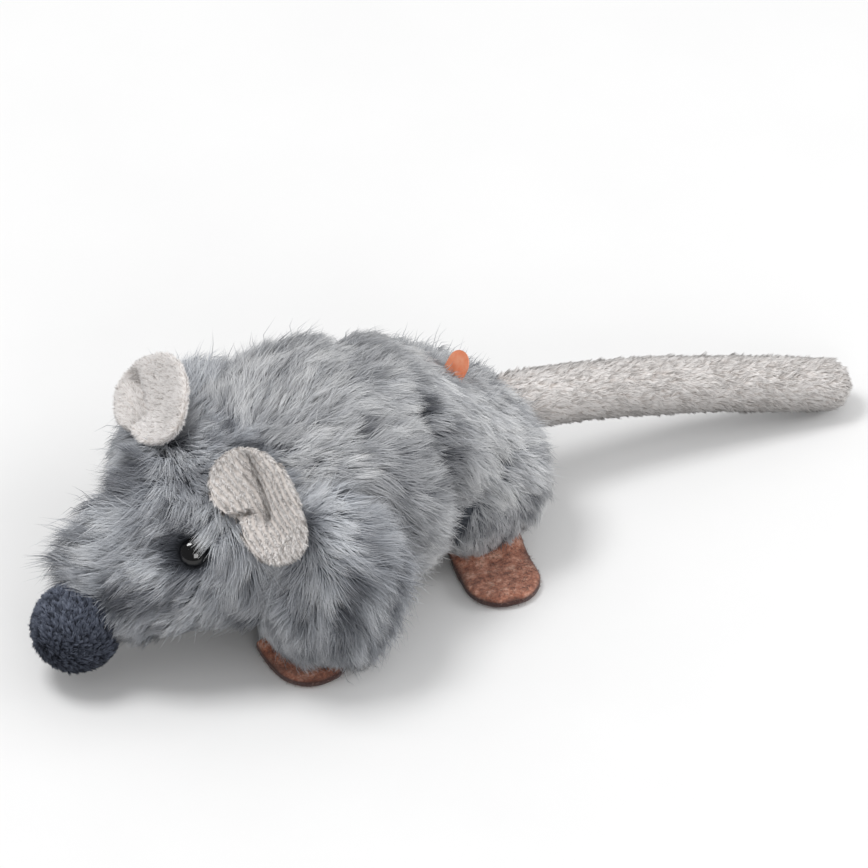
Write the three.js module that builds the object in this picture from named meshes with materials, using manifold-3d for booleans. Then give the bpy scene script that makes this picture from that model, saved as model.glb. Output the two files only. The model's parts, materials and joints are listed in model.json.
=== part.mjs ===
// A stuffed mouse for cats: a furry cover over stuffing, felt feet, a stuffed tail and a sound module inside.
// Millimetres, +Z up. X runs from the nose to the tail, Y to the mouse's right side,
// and the origin is the middle of the flat face that the belly rests on.
import * as THREE from 'three'
import { mergeVertices } from 'three/addons/utils/BufferGeometryUtils.js'
import Module from 'manifold-3d'

const wasm = await Module()
wasm.setup()

// Gaps, and the overrun that every cut has
const seamGap = 0.3
const overrun = 2

// Body, to the backing cloth under the pile
const bodyLength = 77
const bodyWidth = 53
const bodyHeight = 47
const bodyFront = -40
const bellyFlat = 0.5
const furBacking = 2

// Head
const headLength = 50
const headWidth = 52
const headHeight = 42
const headForward = 26

// Nose ball
const noseRadius = 9.4
const noseForward = 4
const noseZ = 12.6
const noseCloth = 1.2

// Tail, on a centreline from its seam in the rump to its tip beside the left of the body
const tailRadius = 5.6
const tailCloth = 1.1
const tailSeamBack = 2.5
const tailSeamZ = 20.4
const tailReach = 65.7
const tailSideways = 18.8
const tailTipZ = 6.3

// Ears: round and cupped, two layers of cloth, gathered in a dart at the root
const earRadius = 11.6
const earCloth = 1.1
const earDepth = 4.5
const earRootRadius = 1.2
const earRootLength = 7
const earRootReach = 9
const earRootDrop = 1
const earRootTurn = 33
const dartWidth = 1.2
const dartLength = 11

// Eyes: domed beads on a stem, held inside by a washer
const eyeRadius = 3
const eyeDome = 2.4
const eyeStemRadius = 1.2
const eyeStemLength = 6
const eyeWasherRadius = 4
const eyeWasherThickness = 1

// Felt feet: flat tongues that lie on the floor under each leg
const feltThickness = 2.4
const footWidth = 16
const frontFootBack = 11
const rearFootAhead = 15.7
const footRootInset = 10
const frontFootReach = 6.5
const rearFootReach = 8.9
const footLift = 13
const rearFootSplay = -14

// Legs: stuffed pods on the body's sides
const foreLegBack = 16
const foreLegInset = 4
const foreLegZ = 20.4
const foreLegLength = 39.2
const foreLegAcross = 30
const foreLegDeep = 28
const foreLegLean = 4
const haunchAhead = 17
const haunchInset = 12
const haunchZ = 16
const haunchLength = 28
const haunchAcross = 28
const haunchDeep = 19
const haunchLean = 14

// Sound module: a round two-part case with three button cells, a circuit board and a piezo disc
const moduleTilt = 56
const caseRadius = 14.5
const caseWall = 1.5
const ledgeWidth = 1.2
const cellRadius = 3.95
const cellThickness = 3.6
const cellCircle = 6.1
const cellCount = 3
const cradleWall = 1.5
const boardThickness = 1.2
const componentRoom = 4.4
const piezoRadius = 9
const piezoThickness = 0.4
const ceramicRadius = 6.5
const ceramicThickness = 0.3
const soundHoleRadius = 0.9
const soundHoleCircle = 4.5
const soundHoleCount = 6
const lidThickness = 1.8
const contactThickness = 0.3
const contactArmWidth = 4
const contactBumpRadius = 1.4
const postRadius = 1.9
const postCircle = 11
const screwRadius = 0.8
const screwHeadRadius = 1.8
const screwHeadHeight = 1.2
const screwLength = 7
const chipRadius = 3
const chipHeight = 1.1
const switchRadius = 1.5
const switchLength = 7
const switchOffset = 6

// Pull tab: a thin strip between one cell and its contact, out through the back
const tabThickness = 0.3
const tabWidth = 6
const tabInner = 4
const tabToFur = 18
const tabShown = 8

// Catnip sachet in the front of the body
const sachetLength = 19
const sachetWidth = 16
const sachetHeight = 10
const sachetBack = 16
const sachetZ = 17
const sachetWay = 3.5
const neckRadius = 9

// Profile shares at even steps from the front of each form to its back
const bodyWidthShares = [0.95, 1.04, 1.03, 1, 0.95, 0.9, 0.89, 0.9, 0.78]
const bodyRiseShares = [0.45, 0.52, 0.507, 0.52, 0.52, 0.513, 0.44, 0.32, 0.26]
const bodyMiddleShares = [0.47, 0.475, 0.48, 0.48, 0.48, 0.47, 0.445, 0.415, 0.42]
const bodyFallShares = [0.45, 0.5, 0.488, 0.489, 0.48, 0.478, 0.47, 0.43, 0.36]
const headWidthShares = [0.5, 0.62, 0.7, 0.885, 1, 1, 1]
const headRiseShares = [0.27, 0.314, 0.346, 0.405, 0.48, 0.5, 0.5]
const headMiddleShares = [0.357, 0.43, 0.52, 0.543, 0.56, 0.57, 0.57]
const headFallShares = [0.2, 0.21, 0.25, 0.35, 0.46, 0.5, 0.5]
const bodyEndShare = 0.55
const headEndShare = 0.62
const upperSectionShare = 0.8
const lowerSectionShare = 0.98
const legSwellShares = [0.86, 0.96, 1, 1, 0.94, 0.84]
const legEndShare = 0.8
const tailBendShares = [0, 0.2, 0.58, 1]
const earOpenShares = [-0.75, 0.25, 0.61]
const earOutShares = [0.458, 0.865, 0.204]
const eyeLookShares = [-0.45, 0.6, 0.66]

// Places of what sits on or in the profiled forms, as shares of their length, half width and height
const earPlaceShares = [0.55, 0.75, 1.0381]
const eyePlaceShares = [0.33, 0.4923, 0.75]
const modulePlaceShares = [0.6883, 0, 0.3809]

// Facet counts
const bodyRings = 18
const bodySides = 22
const headRings = 13
const headSides = 20
const legRings = 9
const legSides = 14
const ballSides = 14
const ballRings = 9
const tailRings = 11
const tailSides = 10
const earRings = 3
const earSides = 16
const roundSides = 20
const smallSides = 10

// Colours, roughness and metalness of each finish
function finish(color, roughness, metalness) {
  return new THREE.MeshStandardMaterial({ color, roughness, metalness })
}
const furFinish = finish('#8d9196', 1, 0)
const stuffingFinish = finish('#e6e3dc', 1, 0)
const noseFinish = finish('#3b3f4a', 0.95, 0)
const shortPileFinish = finish('#cfc7c2', 0.95, 0)
const feltFinish = finish('#80574a', 1, 0)
const beadFinish = finish('#0b0b0d', 0.12, 0)
const washerFinish = finish('#e9e9e4', 0.5, 0)
const tabFinish = finish('#e8865a', 0.3, 0)
const caseFinish = finish('#f1efe9', 0.45, 0)
const boardFinish = finish('#2f6b3c', 0.5, 0)
const steelFinish = finish('#b9bcc0', 0.3, 1)
const brassFinish = finish('#c9a45c', 0.35, 1)
const ceramicFinish = finish('#ece7d8', 0.6, 0)
const chipFinish = finish('#15151a', 0.5, 0)
const sachetFinish = finish('#d8d2bf', 1, 0)

const toy = new THREE.Group()

// A closed mesh as a solid that can be joined and cut
function solid(geometry) {
  const bare = geometry.clone()
  bare.deleteAttribute('normal')
  bare.deleteAttribute('uv')
  const merged = mergeVertices(bare)
  return new wasm.Manifold(new wasm.Mesh({
    numProp: 3,
    vertProperties: new Float32Array(merged.attributes.position.array),
    triVerts: new Uint32Array(merged.index.array)
  }))
}

// The mesh of a solid
function meshOf(body) {
  const mesh = body.getMesh()
  const geometry = new THREE.BufferGeometry()
  geometry.setAttribute('position', new THREE.BufferAttribute(new Float32Array(mesh.vertProperties), 3))
  geometry.setIndex(new THREE.BufferAttribute(new Uint32Array(mesh.triVerts), 1))
  geometry.computeVertexNormals()
  return geometry
}

// Adds one named piece to a group
function addPiece(name, shape, material, group = toy) {
  const geometry = shape.isBufferGeometry ? shape : meshOf(shape)
  const piece = new THREE.Mesh(geometry, material)
  piece.name = name
  group.add(piece)
  return piece
}

// A closed skin over rings of points, with one point at each end, faces outwards
function closedSkin(firstPoint, rings, lastPoint) {
  const sides = rings[0].length
  const points = [firstPoint, ...rings.flat(), lastPoint]
  const last = points.length - 1
  const faces = []
  for (let side = 0; side < sides; side++) {
    const next = (side + 1) % sides
    faces.push([0, 1 + next, 1 + side])
    for (let ring = 0; ring < rings.length - 1; ring++) {
      const near = 1 + ring * sides
      const far = near + sides
      faces.push([near + side, near + next, far + side])
      faces.push([near + next, far + next, far + side])
    }
    faces.push([last, last - sides + side, last - sides + next])
  }
  let volume = 0
  for (const [a, b, c] of faces) {
    volume += points[a].dot(new THREE.Vector3().crossVectors(points[b], points[c]))
  }
  if (volume < 0) faces.forEach(face => face.reverse())
  const geometry = new THREE.BufferGeometry().setFromPoints(points)
  geometry.setIndex(faces.flat())
  return geometry
}

// The value of a profile at a share of the way along it
function profile(shares, along) {
  const knots = shares.map((share, index) => new THREE.Vector2(index, share))
  return new THREE.SplineCurve(knots).getPoint(along).y
}

// A power of a sine or cosine that keeps its sign: under 1 it makes a round section slightly square
function squared(value, share) {
  return Math.sign(value) * Math.abs(value) ** share
}

// A stuffed form along X whose half width, rise and fall follow their profiles and close in at both ends
function stuffedForm(form, grow) {
  const ringAt = ring => {
    const turn = Math.PI * ring / form.rings
    const along = (1 - Math.cos(turn)) / 2
    const close = Math.sin(turn) ** form.endShare
    const half = (form.width / 2 * profile(form.widthShares, along) + grow) * close
    const rise = (form.height * profile(form.riseShares, along) + grow) * close
    const fall = (form.height * profile(form.fallShares, along) + grow) * close
    const middle = form.base + form.height * profile(form.middleShares, along)
    const x = form.front - grow + (form.length + 2 * grow) * along
    return Array.from({ length: form.sides }, (_, side) => {
      const angle = 2 * Math.PI * side / form.sides
      const upper = side <= form.sides / 2
      const share = upper ? upperSectionShare : lowerSectionShare
      const up = squared(Math.sin(angle), share) * (upper ? rise : fall)
      return new THREE.Vector3(x, half * squared(Math.cos(angle), share), middle + up)
    })
  }
  const rings = Array.from({ length: form.rings - 1 }, (_, index) => ringAt(index + 1))
  const endZ = along => form.base + form.height * profile(form.middleShares, along)
  const first = new THREE.Vector3(form.front - grow, 0, endZ(0))
  const last = new THREE.Vector3(form.front + form.length + grow, 0, endZ(1))
  return closedSkin(first, rings, last)
}

// A stuffed pod along its own Z, wider one way than the other, swelling and tapering to both ends
function podForm(length, across, deep) {
  const rings = Array.from({ length: legRings - 1 }, (_, index) => {
    const turn = Math.PI * (index + 1) / legRings
    const along = (1 - Math.cos(turn)) / 2
    const swell = profile(legSwellShares, along) * Math.sin(turn) ** legEndShare
    const z = length / 2 * (2 * along - 1)
    return Array.from({ length: legSides }, (_, side) => {
      const angle = 2 * Math.PI * side / legSides
      const x = across / 2 * swell * Math.cos(angle)
      return new THREE.Vector3(x, deep / 2 * swell * Math.sin(angle), z)
    })
  })
  const end = new THREE.Vector3(0, 0, length / 2)
  return closedSkin(end.clone().negate(), rings, end)
}

// A box between two corners
function boxBetween(low, high) {
  const size = new THREE.Vector3().subVectors(high, low)
  const middle = new THREE.Vector3().addVectors(low, high).multiplyScalar(0.5)
  return new THREE.BoxGeometry(size.x, size.y, size.z).translate(middle.x, middle.y, middle.z)
}

// An upright cylinder from one height to another, at a place
function upright(radius, from, to, sides, x = 0, y = 0) {
  const drum = new THREE.CylinderGeometry(radius, radius, to - from, sides)
  return drum.rotateX(Math.PI / 2).translate(x, y, (from + to) / 2)
}

// A round way along X, between two places at one height
function laneAlongX(radius, from, to, z) {
  return solid(upright(radius, from, to, smallSides).rotateY(Math.PI / 2).translate(0, 0, z))
}

// A ball at a place
function ball(radius, x, y, z) {
  return new THREE.SphereGeometry(radius, ballSides, ballRings).translate(x, y, z)
}

// A direction from its shares along X, Y and Z, on the mouse's left (-1) or right (1) side
function mirrored(shares, side) {
  return new THREE.Vector3(...shares).multiply(new THREE.Vector3(1, side, 1)).normalize()
}

// Everything below the floor, wide enough to trim any form
function belowFloor() {
  const reach = bodyLength + tailReach + headLength
  return solid(boxBetween(new THREE.Vector3(-reach, -reach, -bodyHeight), new THREE.Vector3(reach, reach, 0)))
}

// The two main forms, and the places along X that follow from them
const bodyBack = bodyFront + bodyLength
const headFront = bodyFront - headForward
const noseX = headFront - noseForward
const tailSeamX = bodyBack + tailSeamBack
const sachetX = bodyFront + sachetBack
const footRootY = bodyWidth / 2 - footRootInset
const body = {
  front: bodyFront,
  length: bodyLength,
  width: bodyWidth,
  height: bodyHeight,
  base: -bellyFlat,
  widthShares: bodyWidthShares,
  riseShares: bodyRiseShares,
  middleShares: bodyMiddleShares,
  fallShares: bodyFallShares,
  endShare: bodyEndShare,
  rings: bodyRings,
  sides: bodySides
}
const head = {
  front: headFront,
  length: headLength,
  width: headWidth,
  height: headHeight,
  base: 0,
  widthShares: headWidthShares,
  riseShares: headRiseShares,
  middleShares: headMiddleShares,
  fallShares: headFallShares,
  endShare: headEndShare,
  rings: headRings,
  sides: headSides
}

// A place from its shares of a form's length, half width and height, on the left (-1) or right (1) side
function placeOn(form, [along, sideways, upwards], side) {
  const x = form.front + form.length * along
  return new THREE.Vector3(x, side * form.width / 2 * sideways, form.height * upwards)
}

// The body's and head's outer shapes, and the same grown by one seam gap for cutting their neighbours
const bodySolid = solid(stuffedForm(body, 0)).subtract(belowFloor())
const bodyCutter = solid(stuffedForm(body, seamGap))
const headSolid = solid(stuffedForm(head, 0))
const headCutter = solid(stuffedForm(head, seamGap))

// Sound module and pull tab: a group whose Z is the case's axis and whose X is the way the tab pulls out
const soundModule = new THREE.Group()
soundModule.position.copy(placeOn(body, modulePlaceShares, 1))
soundModule.rotation.y = -THREE.MathUtils.degToRad(moduleTilt)
soundModule.updateMatrix()
toy.add(soundModule)

// Heights inside the case, from the pull tab's plane at zero
const cellLow = tabThickness / 2 + seamGap
const cellHigh = cellLow + cellThickness
const boardLow = cellHigh + seamGap
const boardHigh = boardLow + boardThickness
const ledgeLow = boardHigh + seamGap
const piezoLow = boardHigh + componentRoom
const piezoHigh = piezoLow + piezoThickness
const caseInnerTop = piezoHigh + ceramicThickness + 3 * seamGap
const caseTop = caseInnerTop + caseWall
const contactHigh = -tabThickness / 2 - seamGap
const contactLow = contactHigh - 2 * contactThickness
const lidHigh = contactLow - seamGap
const lidLow = lidHigh - lidThickness
const caseLow = lidHigh + seamGap
const caseInner = caseRadius - caseWall

// The places around the case's axis where a piece repeats
function around(count, circle, turn) {
  return Array.from({ length: count }, (_, index) => {
    const angle = turn + 2 * Math.PI * index / count
    return { x: circle * Math.cos(angle), y: circle * Math.sin(angle), angle }
  })
}
const cellPlaces = around(cellCount, cellCircle, 0)
const postPlaces = around(cellCount, postCircle, Math.PI / cellCount)

// A solid of revolution about Z from pairs of radius and height
function turned(pairs, sides = roundSides) {
  const points = pairs.map(([radius, height]) => new THREE.Vector2(radius, height))
  return new THREE.LatheGeometry(points, sides).rotateX(Math.PI / 2)
}

// Case: a cup with a ledge for the board, a seat for the piezo disc, screw posts, sound holes and a slot
function moduleCase() {
  const ledgeInner = caseInner - ledgeWidth
  let cup = solid(turned([
    [0, caseInnerTop],
    [piezoRadius - ledgeWidth, caseInnerTop],
    [piezoRadius - ledgeWidth, piezoHigh + seamGap],
    [ledgeInner, piezoHigh + seamGap],
    [ledgeInner, ledgeLow],
    [caseInner, ledgeLow],
    [caseInner, caseLow],
    [caseRadius, caseLow],
    [caseRadius, caseTop],
    [0, caseTop]
  ]))
  for (const place of postPlaces) {
    const post = solid(upright(postRadius, cellLow, caseInnerTop, smallSides, place.x, place.y))
    const [low, high] = [cellLow - overrun, cellLow + screwLength]
    const pilot = upright(screwRadius + seamGap, low, high, smallSides, place.x, place.y)
    cup = cup.add(post).subtract(solid(pilot))
  }
  const holes = [{ x: 0, y: 0 }, ...around(soundHoleCount, soundHoleCircle, 0)]
  for (const hole of holes) {
    const [low, high] = [caseInnerTop - overrun, caseTop + overrun]
    const drilled = upright(soundHoleRadius, low, high, smallSides, hole.x, hole.y)
    cup = cup.subtract(solid(drilled))
  }
  const slot = boxBetween(
    new THREE.Vector3(caseInner - overrun, -tabWidth / 2 - seamGap, -tabThickness / 2 - seamGap),
    new THREE.Vector3(caseRadius + overrun, tabWidth / 2 + seamGap, tabThickness / 2 + seamGap)
  )
  return cup.subtract(solid(slot))
}

// A round plate of the case with room for the posts
function plateAroundPosts(radius, low, high) {
  let plate = solid(upright(radius, low, high, roundSides))
  for (const place of postPlaces) {
    const hole = upright(postRadius + seamGap, low - overrun, high + overrun, smallSides, place.x, place.y)
    plate = plate.subtract(solid(hole))
  }
  return plate
}

// Cradle: a disc with a pocket for each cell
function cellCradle() {
  const radius = cellCircle + cellRadius + cradleWall
  let cradle = plateAroundPosts(radius, cellLow, cellHigh)
  for (const place of cellPlaces) {
    const [low, high] = [cellLow - overrun, cellHigh + overrun]
    const well = upright(cellRadius + seamGap, low, high, roundSides, place.x, place.y)
    cradle = cradle.subtract(solid(well))
  }
  return cradle
}

// Contact plate under the cells: three arms, each with a raised bump under its cell
function lidContact() {
  const arms = cellPlaces.map(place => {
    const arm = boxBetween(
      new THREE.Vector3(-contactArmWidth / 2, -contactArmWidth / 2, contactLow),
      new THREE.Vector3(cellCircle + contactArmWidth / 2, contactArmWidth / 2, contactLow + contactThickness)
    )
    return solid(arm.rotateZ(place.angle))
  })
  let plate = arms[0].add(arms[1]).add(arms[2])
  cellPlaces.forEach((place, index) => {
    const top = index === 0 ? contactHigh : cellLow - seamGap
    plate = plate.add(solid(upright(contactBumpRadius, contactLow, top, smallSides, place.x, place.y)))
  })
  return plate
}

// Lid: a disc with countersunk screw holes
function moduleLid() {
  let lid = solid(upright(caseRadius, lidLow, lidHigh, roundSides))
  for (const { x, y } of postPlaces) {
    const hole = upright(screwRadius + seamGap, lidLow - overrun, lidHigh + overrun, smallSides, x, y)
    const [low, high] = [lidLow - overrun, lidLow + screwHeadHeight]
    const sink = upright(screwHeadRadius + seamGap, low, high, smallSides, x, y)
    lid = lid.subtract(solid(hole)).subtract(solid(sink))
  }
  return lid
}

// Screw: a flat head and a plain shank, standing in the lid's countersink
function screw(place) {
  const headTop = lidLow + screwHeadHeight - seamGap
  const shape = turned([
    [0, headTop - screwHeadHeight],
    [screwHeadRadius, headTop - screwHeadHeight],
    [screwHeadRadius, headTop],
    [screwRadius, headTop],
    [screwRadius, headTop + screwLength],
    [0, headTop + screwLength]
  ], smallSides)
  return shape.translate(place.x, place.y, 0)
}

addPiece('module_case', moduleCase(), caseFinish, soundModule)
addPiece('module_lid', moduleLid(), caseFinish, soundModule)
addPiece('cell_cradle', cellCradle(), caseFinish, soundModule)
const boardPlate = plateAroundPosts(caseInner - seamGap, boardLow, boardHigh)
addPiece('circuit_board', boardPlate, boardFinish, soundModule)
addPiece('lid_contact', lidContact(), brassFinish, soundModule)
cellPlaces.forEach((place, index) => {
  const cell = upright(cellRadius, cellLow, cellHigh, roundSides, place.x, place.y)
  addPiece(`button_cell_${index + 1}`, cell, steelFinish, soundModule)
})
postPlaces.forEach((place, index) => {
  addPiece(`lid_screw_${index + 1}`, screw(place), steelFinish, soundModule)
})
addPiece('piezo_disc', upright(piezoRadius, piezoLow, piezoHigh, roundSides), brassFinish, soundModule)
const ceramicLow = piezoHigh + seamGap
const ceramic = upright(ceramicRadius, ceramicLow, ceramicLow + ceramicThickness, roundSides)
addPiece('piezo_ceramic', ceramic, ceramicFinish, soundModule)
const chip = upright(chipRadius, ledgeLow, ledgeLow + chipHeight, smallSides)
addPiece('sound_chip', chip, chipFinish, soundModule)
const motionSwitch = new THREE.CylinderGeometry(switchRadius, switchRadius, switchLength, smallSides)
motionSwitch.translate(-switchOffset, 0, ledgeLow + switchRadius)
addPiece('motion_switch', motionSwitch, steelFinish, soundModule)

// Pull tab: a strip with a round outer end
function tabStrip(grow, outerX) {
  const half = tabWidth / 2 + grow
  const outline = new THREE.Shape()
  outline.moveTo(-tabInner - grow, -half)
  outline.lineTo(outerX - half, -half)
  outline.absarc(outerX - half, 0, half, -Math.PI / 2, Math.PI / 2, false)
  outline.lineTo(-tabInner - grow, half)
  outline.closePath()
  const depth = tabThickness + 2 * grow
  const strip = new THREE.ExtrudeGeometry(outline, { depth, bevelEnabled: false, curveSegments: smallSides })
  return strip.translate(0, 0, -depth / 2)
}
addPiece('pull_tab', tabStrip(0, tabToFur + tabShown), tabFinish, soundModule)

// The room that the module and the tab's way out need in the stuffing and the cover
const moduleDrum = upright(caseRadius + seamGap, lidLow - seamGap, caseTop + seamGap, roundSides)
const moduleRoom = solid(moduleDrum.applyMatrix4(soundModule.matrix))
const tabWay = solid(tabStrip(seamGap, tabToFur + tabShown + overrun).applyMatrix4(soundModule.matrix))

// Catnip sachet: a small pillow, with a way for filling from the neck
const sachet = {
  ...body,
  front: sachetX - sachetLength / 2,
  length: sachetLength,
  width: sachetWidth,
  height: sachetHeight,
  base: sachetZ - sachetHeight / 2,
  rings: legRings,
  sides: legSides
}
addPiece('catnip_sachet', stuffedForm(sachet, 0), sachetFinish)
const sachetRoom = solid(stuffedForm(sachet, seamGap))
const sachetLane = laneAlongX(sachetWay, bodyFront - overrun, sachetX, sachetZ)

// Tail seam: a round dimple in the rump that the tail's rounded root turns in
const tailDimple = solid(ball(tailRadius + seamGap, tailSeamX, 0, tailSeamZ))

// Body cover: fur backing over the stuffing, open at the neck, at the tab's slit and at the tail
const bodyInner = solid(stuffedForm(body, -furBacking))
const neckHole = laneAlongX(neckRadius, bodyFront - overrun, sachetX, sachetZ)
const bodySkin = bodySolid.subtract(bodyInner).subtract(neckHole).subtract(tabWay)
addPiece('body_cover', bodySkin.subtract(tailDimple), furFinish)

// Body stuffing, with room for the module, the tab and the sachet
const bodyFill = solid(stuffedForm(body, -furBacking - seamGap)).subtract(moduleRoom).subtract(tabWay)
const bodyPadding = bodyFill.subtract(sachetRoom).subtract(sachetLane).subtract(tailDimple)
addPiece('body_stuffing', bodyPadding, stuffingFinish)

// Head cover and stuffing, open at the back where the head is sewn to the body
const headInner = solid(stuffedForm(head, -furBacking))
const headFill = solid(stuffedForm(head, -furBacking - seamGap))

// Eye frame: Z points out of the head at the bead
function eyePlacement(side) {
  const out = mirrored(eyeLookShares, side)
  const turn = new THREE.Quaternion().setFromUnitVectors(new THREE.Vector3(0, 0, 1), out)
  return new THREE.Matrix4().makeRotationFromQuaternion(turn).setPosition(placeOn(head, eyePlaceShares, side))
}

// Eye bead: a dome on a stem, one turned piece
function eyeBead(side) {
  const arcPoints = Array.from({ length: smallSides / 2 }, (_, index) => {
    const angle = Math.PI / 2 * index / (smallSides / 2)
    return [eyeRadius * Math.cos(angle), eyeDome * Math.sin(angle)]
  })
  const stemPoints = [[0, -eyeStemLength], [eyeStemRadius, -eyeStemLength], [eyeStemRadius, 0]]
  return turned([...stemPoints, ...arcPoints, [0, eyeDome]], legSides).applyMatrix4(eyePlacement(side))
}

// Washer: a ring on the stem inside the cover
const washerHigh = -furBacking - 3 * seamGap
function eyeWasher(side) {
  const low = washerHigh - eyeWasherThickness
  const hole = upright(eyeStemRadius + seamGap, low - overrun, washerHigh + overrun, smallSides)
  const ring = solid(upright(eyeWasherRadius, low, washerHigh, smallSides)).subtract(solid(hole))
  return meshOf(ring).applyMatrix4(eyePlacement(side))
}
let headCover = headSolid.subtract(headInner).subtract(bodyCutter)
let headStuffing = headFill.subtract(bodyCutter)
for (const side of [-1, 1]) {
  const label = side < 0 ? 'left' : 'right'
  const place = eyePlacement(side)
  addPiece(`eye_${label}`, eyeBead(side), beadFinish)
  addPiece(`eye_washer_${label}`, eyeWasher(side), washerFinish)
  const washerLow = washerHigh - eyeWasherThickness - seamGap
  const stemHole = upright(eyeStemRadius + seamGap, -eyeStemLength - seamGap, eyeDome, smallSides)
  const beadSeat = upright(eyeRadius + seamGap, -seamGap, eyeDome + overrun, legSides)
  const washerRoom = upright(eyeWasherRadius + seamGap, washerLow, washerHigh + overrun, smallSides)
  const [hole, seat, room] = [stemHole, beadSeat, washerRoom].map(shape => solid(shape.applyMatrix4(place)))
  headCover = headCover.subtract(hole).subtract(seat)
  headStuffing = headStuffing.subtract(hole).subtract(room)
}
addPiece('head_cover', headCover, furFinish)
addPiece('head_stuffing', headStuffing, stuffingFinish)

// Nose: a stuffed ball sewn to the snout, its cloth gathered there
const noseBall = solid(ball(noseRadius, noseX, 0, noseZ)).subtract(headCutter)
const noseInner = solid(ball(noseRadius - noseCloth, noseX, 0, noseZ))
const noseFill = solid(ball(noseRadius - noseCloth - seamGap, noseX, 0, noseZ)).subtract(headCutter)
addPiece('nose_cover', noseBall.subtract(noseInner), noseFinish)
addPiece('nose_stuffing', noseFill, stuffingFinish)

// Felt foot: a flat tongue, its root at the local origin and its tip along local +Y
function footOutline(length) {
  const half = footWidth / 2
  const shape = new THREE.Shape()
  shape.moveTo(-half, 0)
  shape.lineTo(half, 0)
  shape.lineTo(half, length - footWidth / 2)
  shape.absarc(0, length - footWidth / 2, half, 0, Math.PI, false)
  shape.closePath()
  return shape
}
function feltFoot(side, x, splay, length) {
  const cut = { depth: feltThickness, bevelEnabled: false, curveSegments: smallSides }
  const felt = new THREE.ExtrudeGeometry(footOutline(length), cut)
  return felt.rotateZ(side < 0 ? Math.PI + splay : -splay).translate(x, side * footRootY, 0)
}

// The space over a foot that its leg leaves free, up to the foot's highest swing
function footRoom(side, x, splay, length) {
  const liftSlope = Math.tan(THREE.MathUtils.degToRad(footLift))
  const reach = length + overrun
  const profileShape = new THREE.Shape()
  profileShape.moveTo(-overrun, -overrun)
  profileShape.lineTo(reach, -overrun)
  profileShape.lineTo(reach, feltThickness + seamGap + reach * liftSlope)
  profileShape.lineTo(-overrun, feltThickness + seamGap)
  profileShape.closePath()
  const width = footWidth + 2 * seamGap + overrun
  const wedge = new THREE.ExtrudeGeometry(profileShape, { depth: width, bevelEnabled: false })
  wedge.translate(0, 0, -width / 2).rotateX(Math.PI / 2).rotateZ(Math.PI / 2)
  return solid(wedge.rotateZ(side < 0 ? Math.PI + splay : -splay).translate(x, side * footRootY, 0))
}

// Legs: pods on the body's sides, cut by the body and the head, open over the feet
const legs = [
  {
    name: 'foreleg',
    foot: 'front_foot',
    place: [bodyFront + foreLegBack, bodyWidth / 2 - foreLegInset, foreLegZ],
    size: [foreLegLength, foreLegAcross, foreLegDeep],
    lean: foreLegLean,
    footX: bodyFront + frontFootBack,
    footLength: footRootInset + frontFootReach,
    splay: 0
  },
  {
    name: 'haunch',
    foot: 'rear_foot',
    place: [bodyBack - haunchAhead, bodyWidth / 2 - haunchInset, haunchZ],
    size: [haunchLength, haunchAcross, haunchDeep],
    lean: haunchLean,
    footX: bodyBack - rearFootAhead,
    footLength: footRootInset + rearFootReach,
    splay: THREE.MathUtils.degToRad(rearFootSplay)
  }
]
for (const leg of legs) {
  for (const side of [-1, 1]) {
    const label = side < 0 ? 'left' : 'right'
    const [x, y, z] = leg.place
    const pod = podForm(...leg.size).rotateX(side * THREE.MathUtils.degToRad(leg.lean))
    pod.translate(x, side * y, z)
    const room = footRoom(side, leg.footX, leg.splay, leg.footLength)
    const cut = solid(pod).subtract(bodyCutter).subtract(headCutter).subtract(room).subtract(belowFloor())
    addPiece(`${leg.name}_${label}`, cut, furFinish)
    addPiece(`${leg.foot}_${label}`, feltFoot(side, leg.footX, leg.splay, leg.footLength), feltFinish)
  }
}

// Ears: a cupped disc in the frame of its root-to-rim, side and open-face directions
function earFrame(side) {
  const open = mirrored(earOpenShares, side)
  const out = mirrored(earOutShares, side)
  out.addScaledVector(open, -out.dot(open)).normalize()
  const across = new THREE.Vector3().crossVectors(open, out)
  return new THREE.Matrix4().makeBasis(out, across, open).setPosition(placeOn(head, earPlaceShares, side))
}
function earLayer(low, high) {
  const ringAt = (share, height) => Array.from({ length: earSides }, (_, point) => {
    const angle = 2 * Math.PI * point / earSides
    const radius = earRadius * share
    const z = height + earDepth * (share ** 2 - 1 / 2)
    return new THREE.Vector3(radius * Math.cos(angle), radius * Math.sin(angle), z)
  })
  const steps = Array.from({ length: earRings }, (_, index) => (index + 1) / earRings)
  const inner = steps.map(share => ringAt(share, high))
  const outer = steps.map(share => ringAt(share, low)).reverse()
  const pole = height => new THREE.Vector3(0, 0, height - earDepth / 2)
  return solid(closedSkin(pole(high), [...inner, ...outer], pole(low)))
}
function earDart() {
  return solid(boxBetween(
    new THREE.Vector3(-earRadius - overrun, -dartWidth / 2, -earDepth - overrun),
    new THREE.Vector3(-earRadius + dartLength, dartWidth / 2, earDepth + overrun)
  ))
}

// The rolled seam that hangs the ear on the head: the ear flops about its middle line
function earRoot(side) {
  const roll = upright(earRootRadius, -earRootLength / 2, earRootLength / 2, smallSides).rotateX(Math.PI / 2)
  const turn = Math.PI - side * THREE.MathUtils.degToRad(earRootTurn)
  return solid(roll.translate(earRootReach, 0, -earRootDrop).rotateZ(turn))
}
for (const side of [-1, 1]) {
  const label = side < 0 ? 'left' : 'right'
  const lining = earLayer(seamGap / 2, earCloth + seamGap / 2)
  const back = earLayer(-earCloth - seamGap / 2, -seamGap / 2).add(earRoot(side))
  for (const [layer, cup] of Object.entries({ lining, back })) {
    const sewn = meshOf(cup.subtract(earDart())).applyMatrix4(earFrame(side))
    addPiece(`ear_${layer}_${label}`, sewn, shortPileFinish)
  }
}

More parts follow.
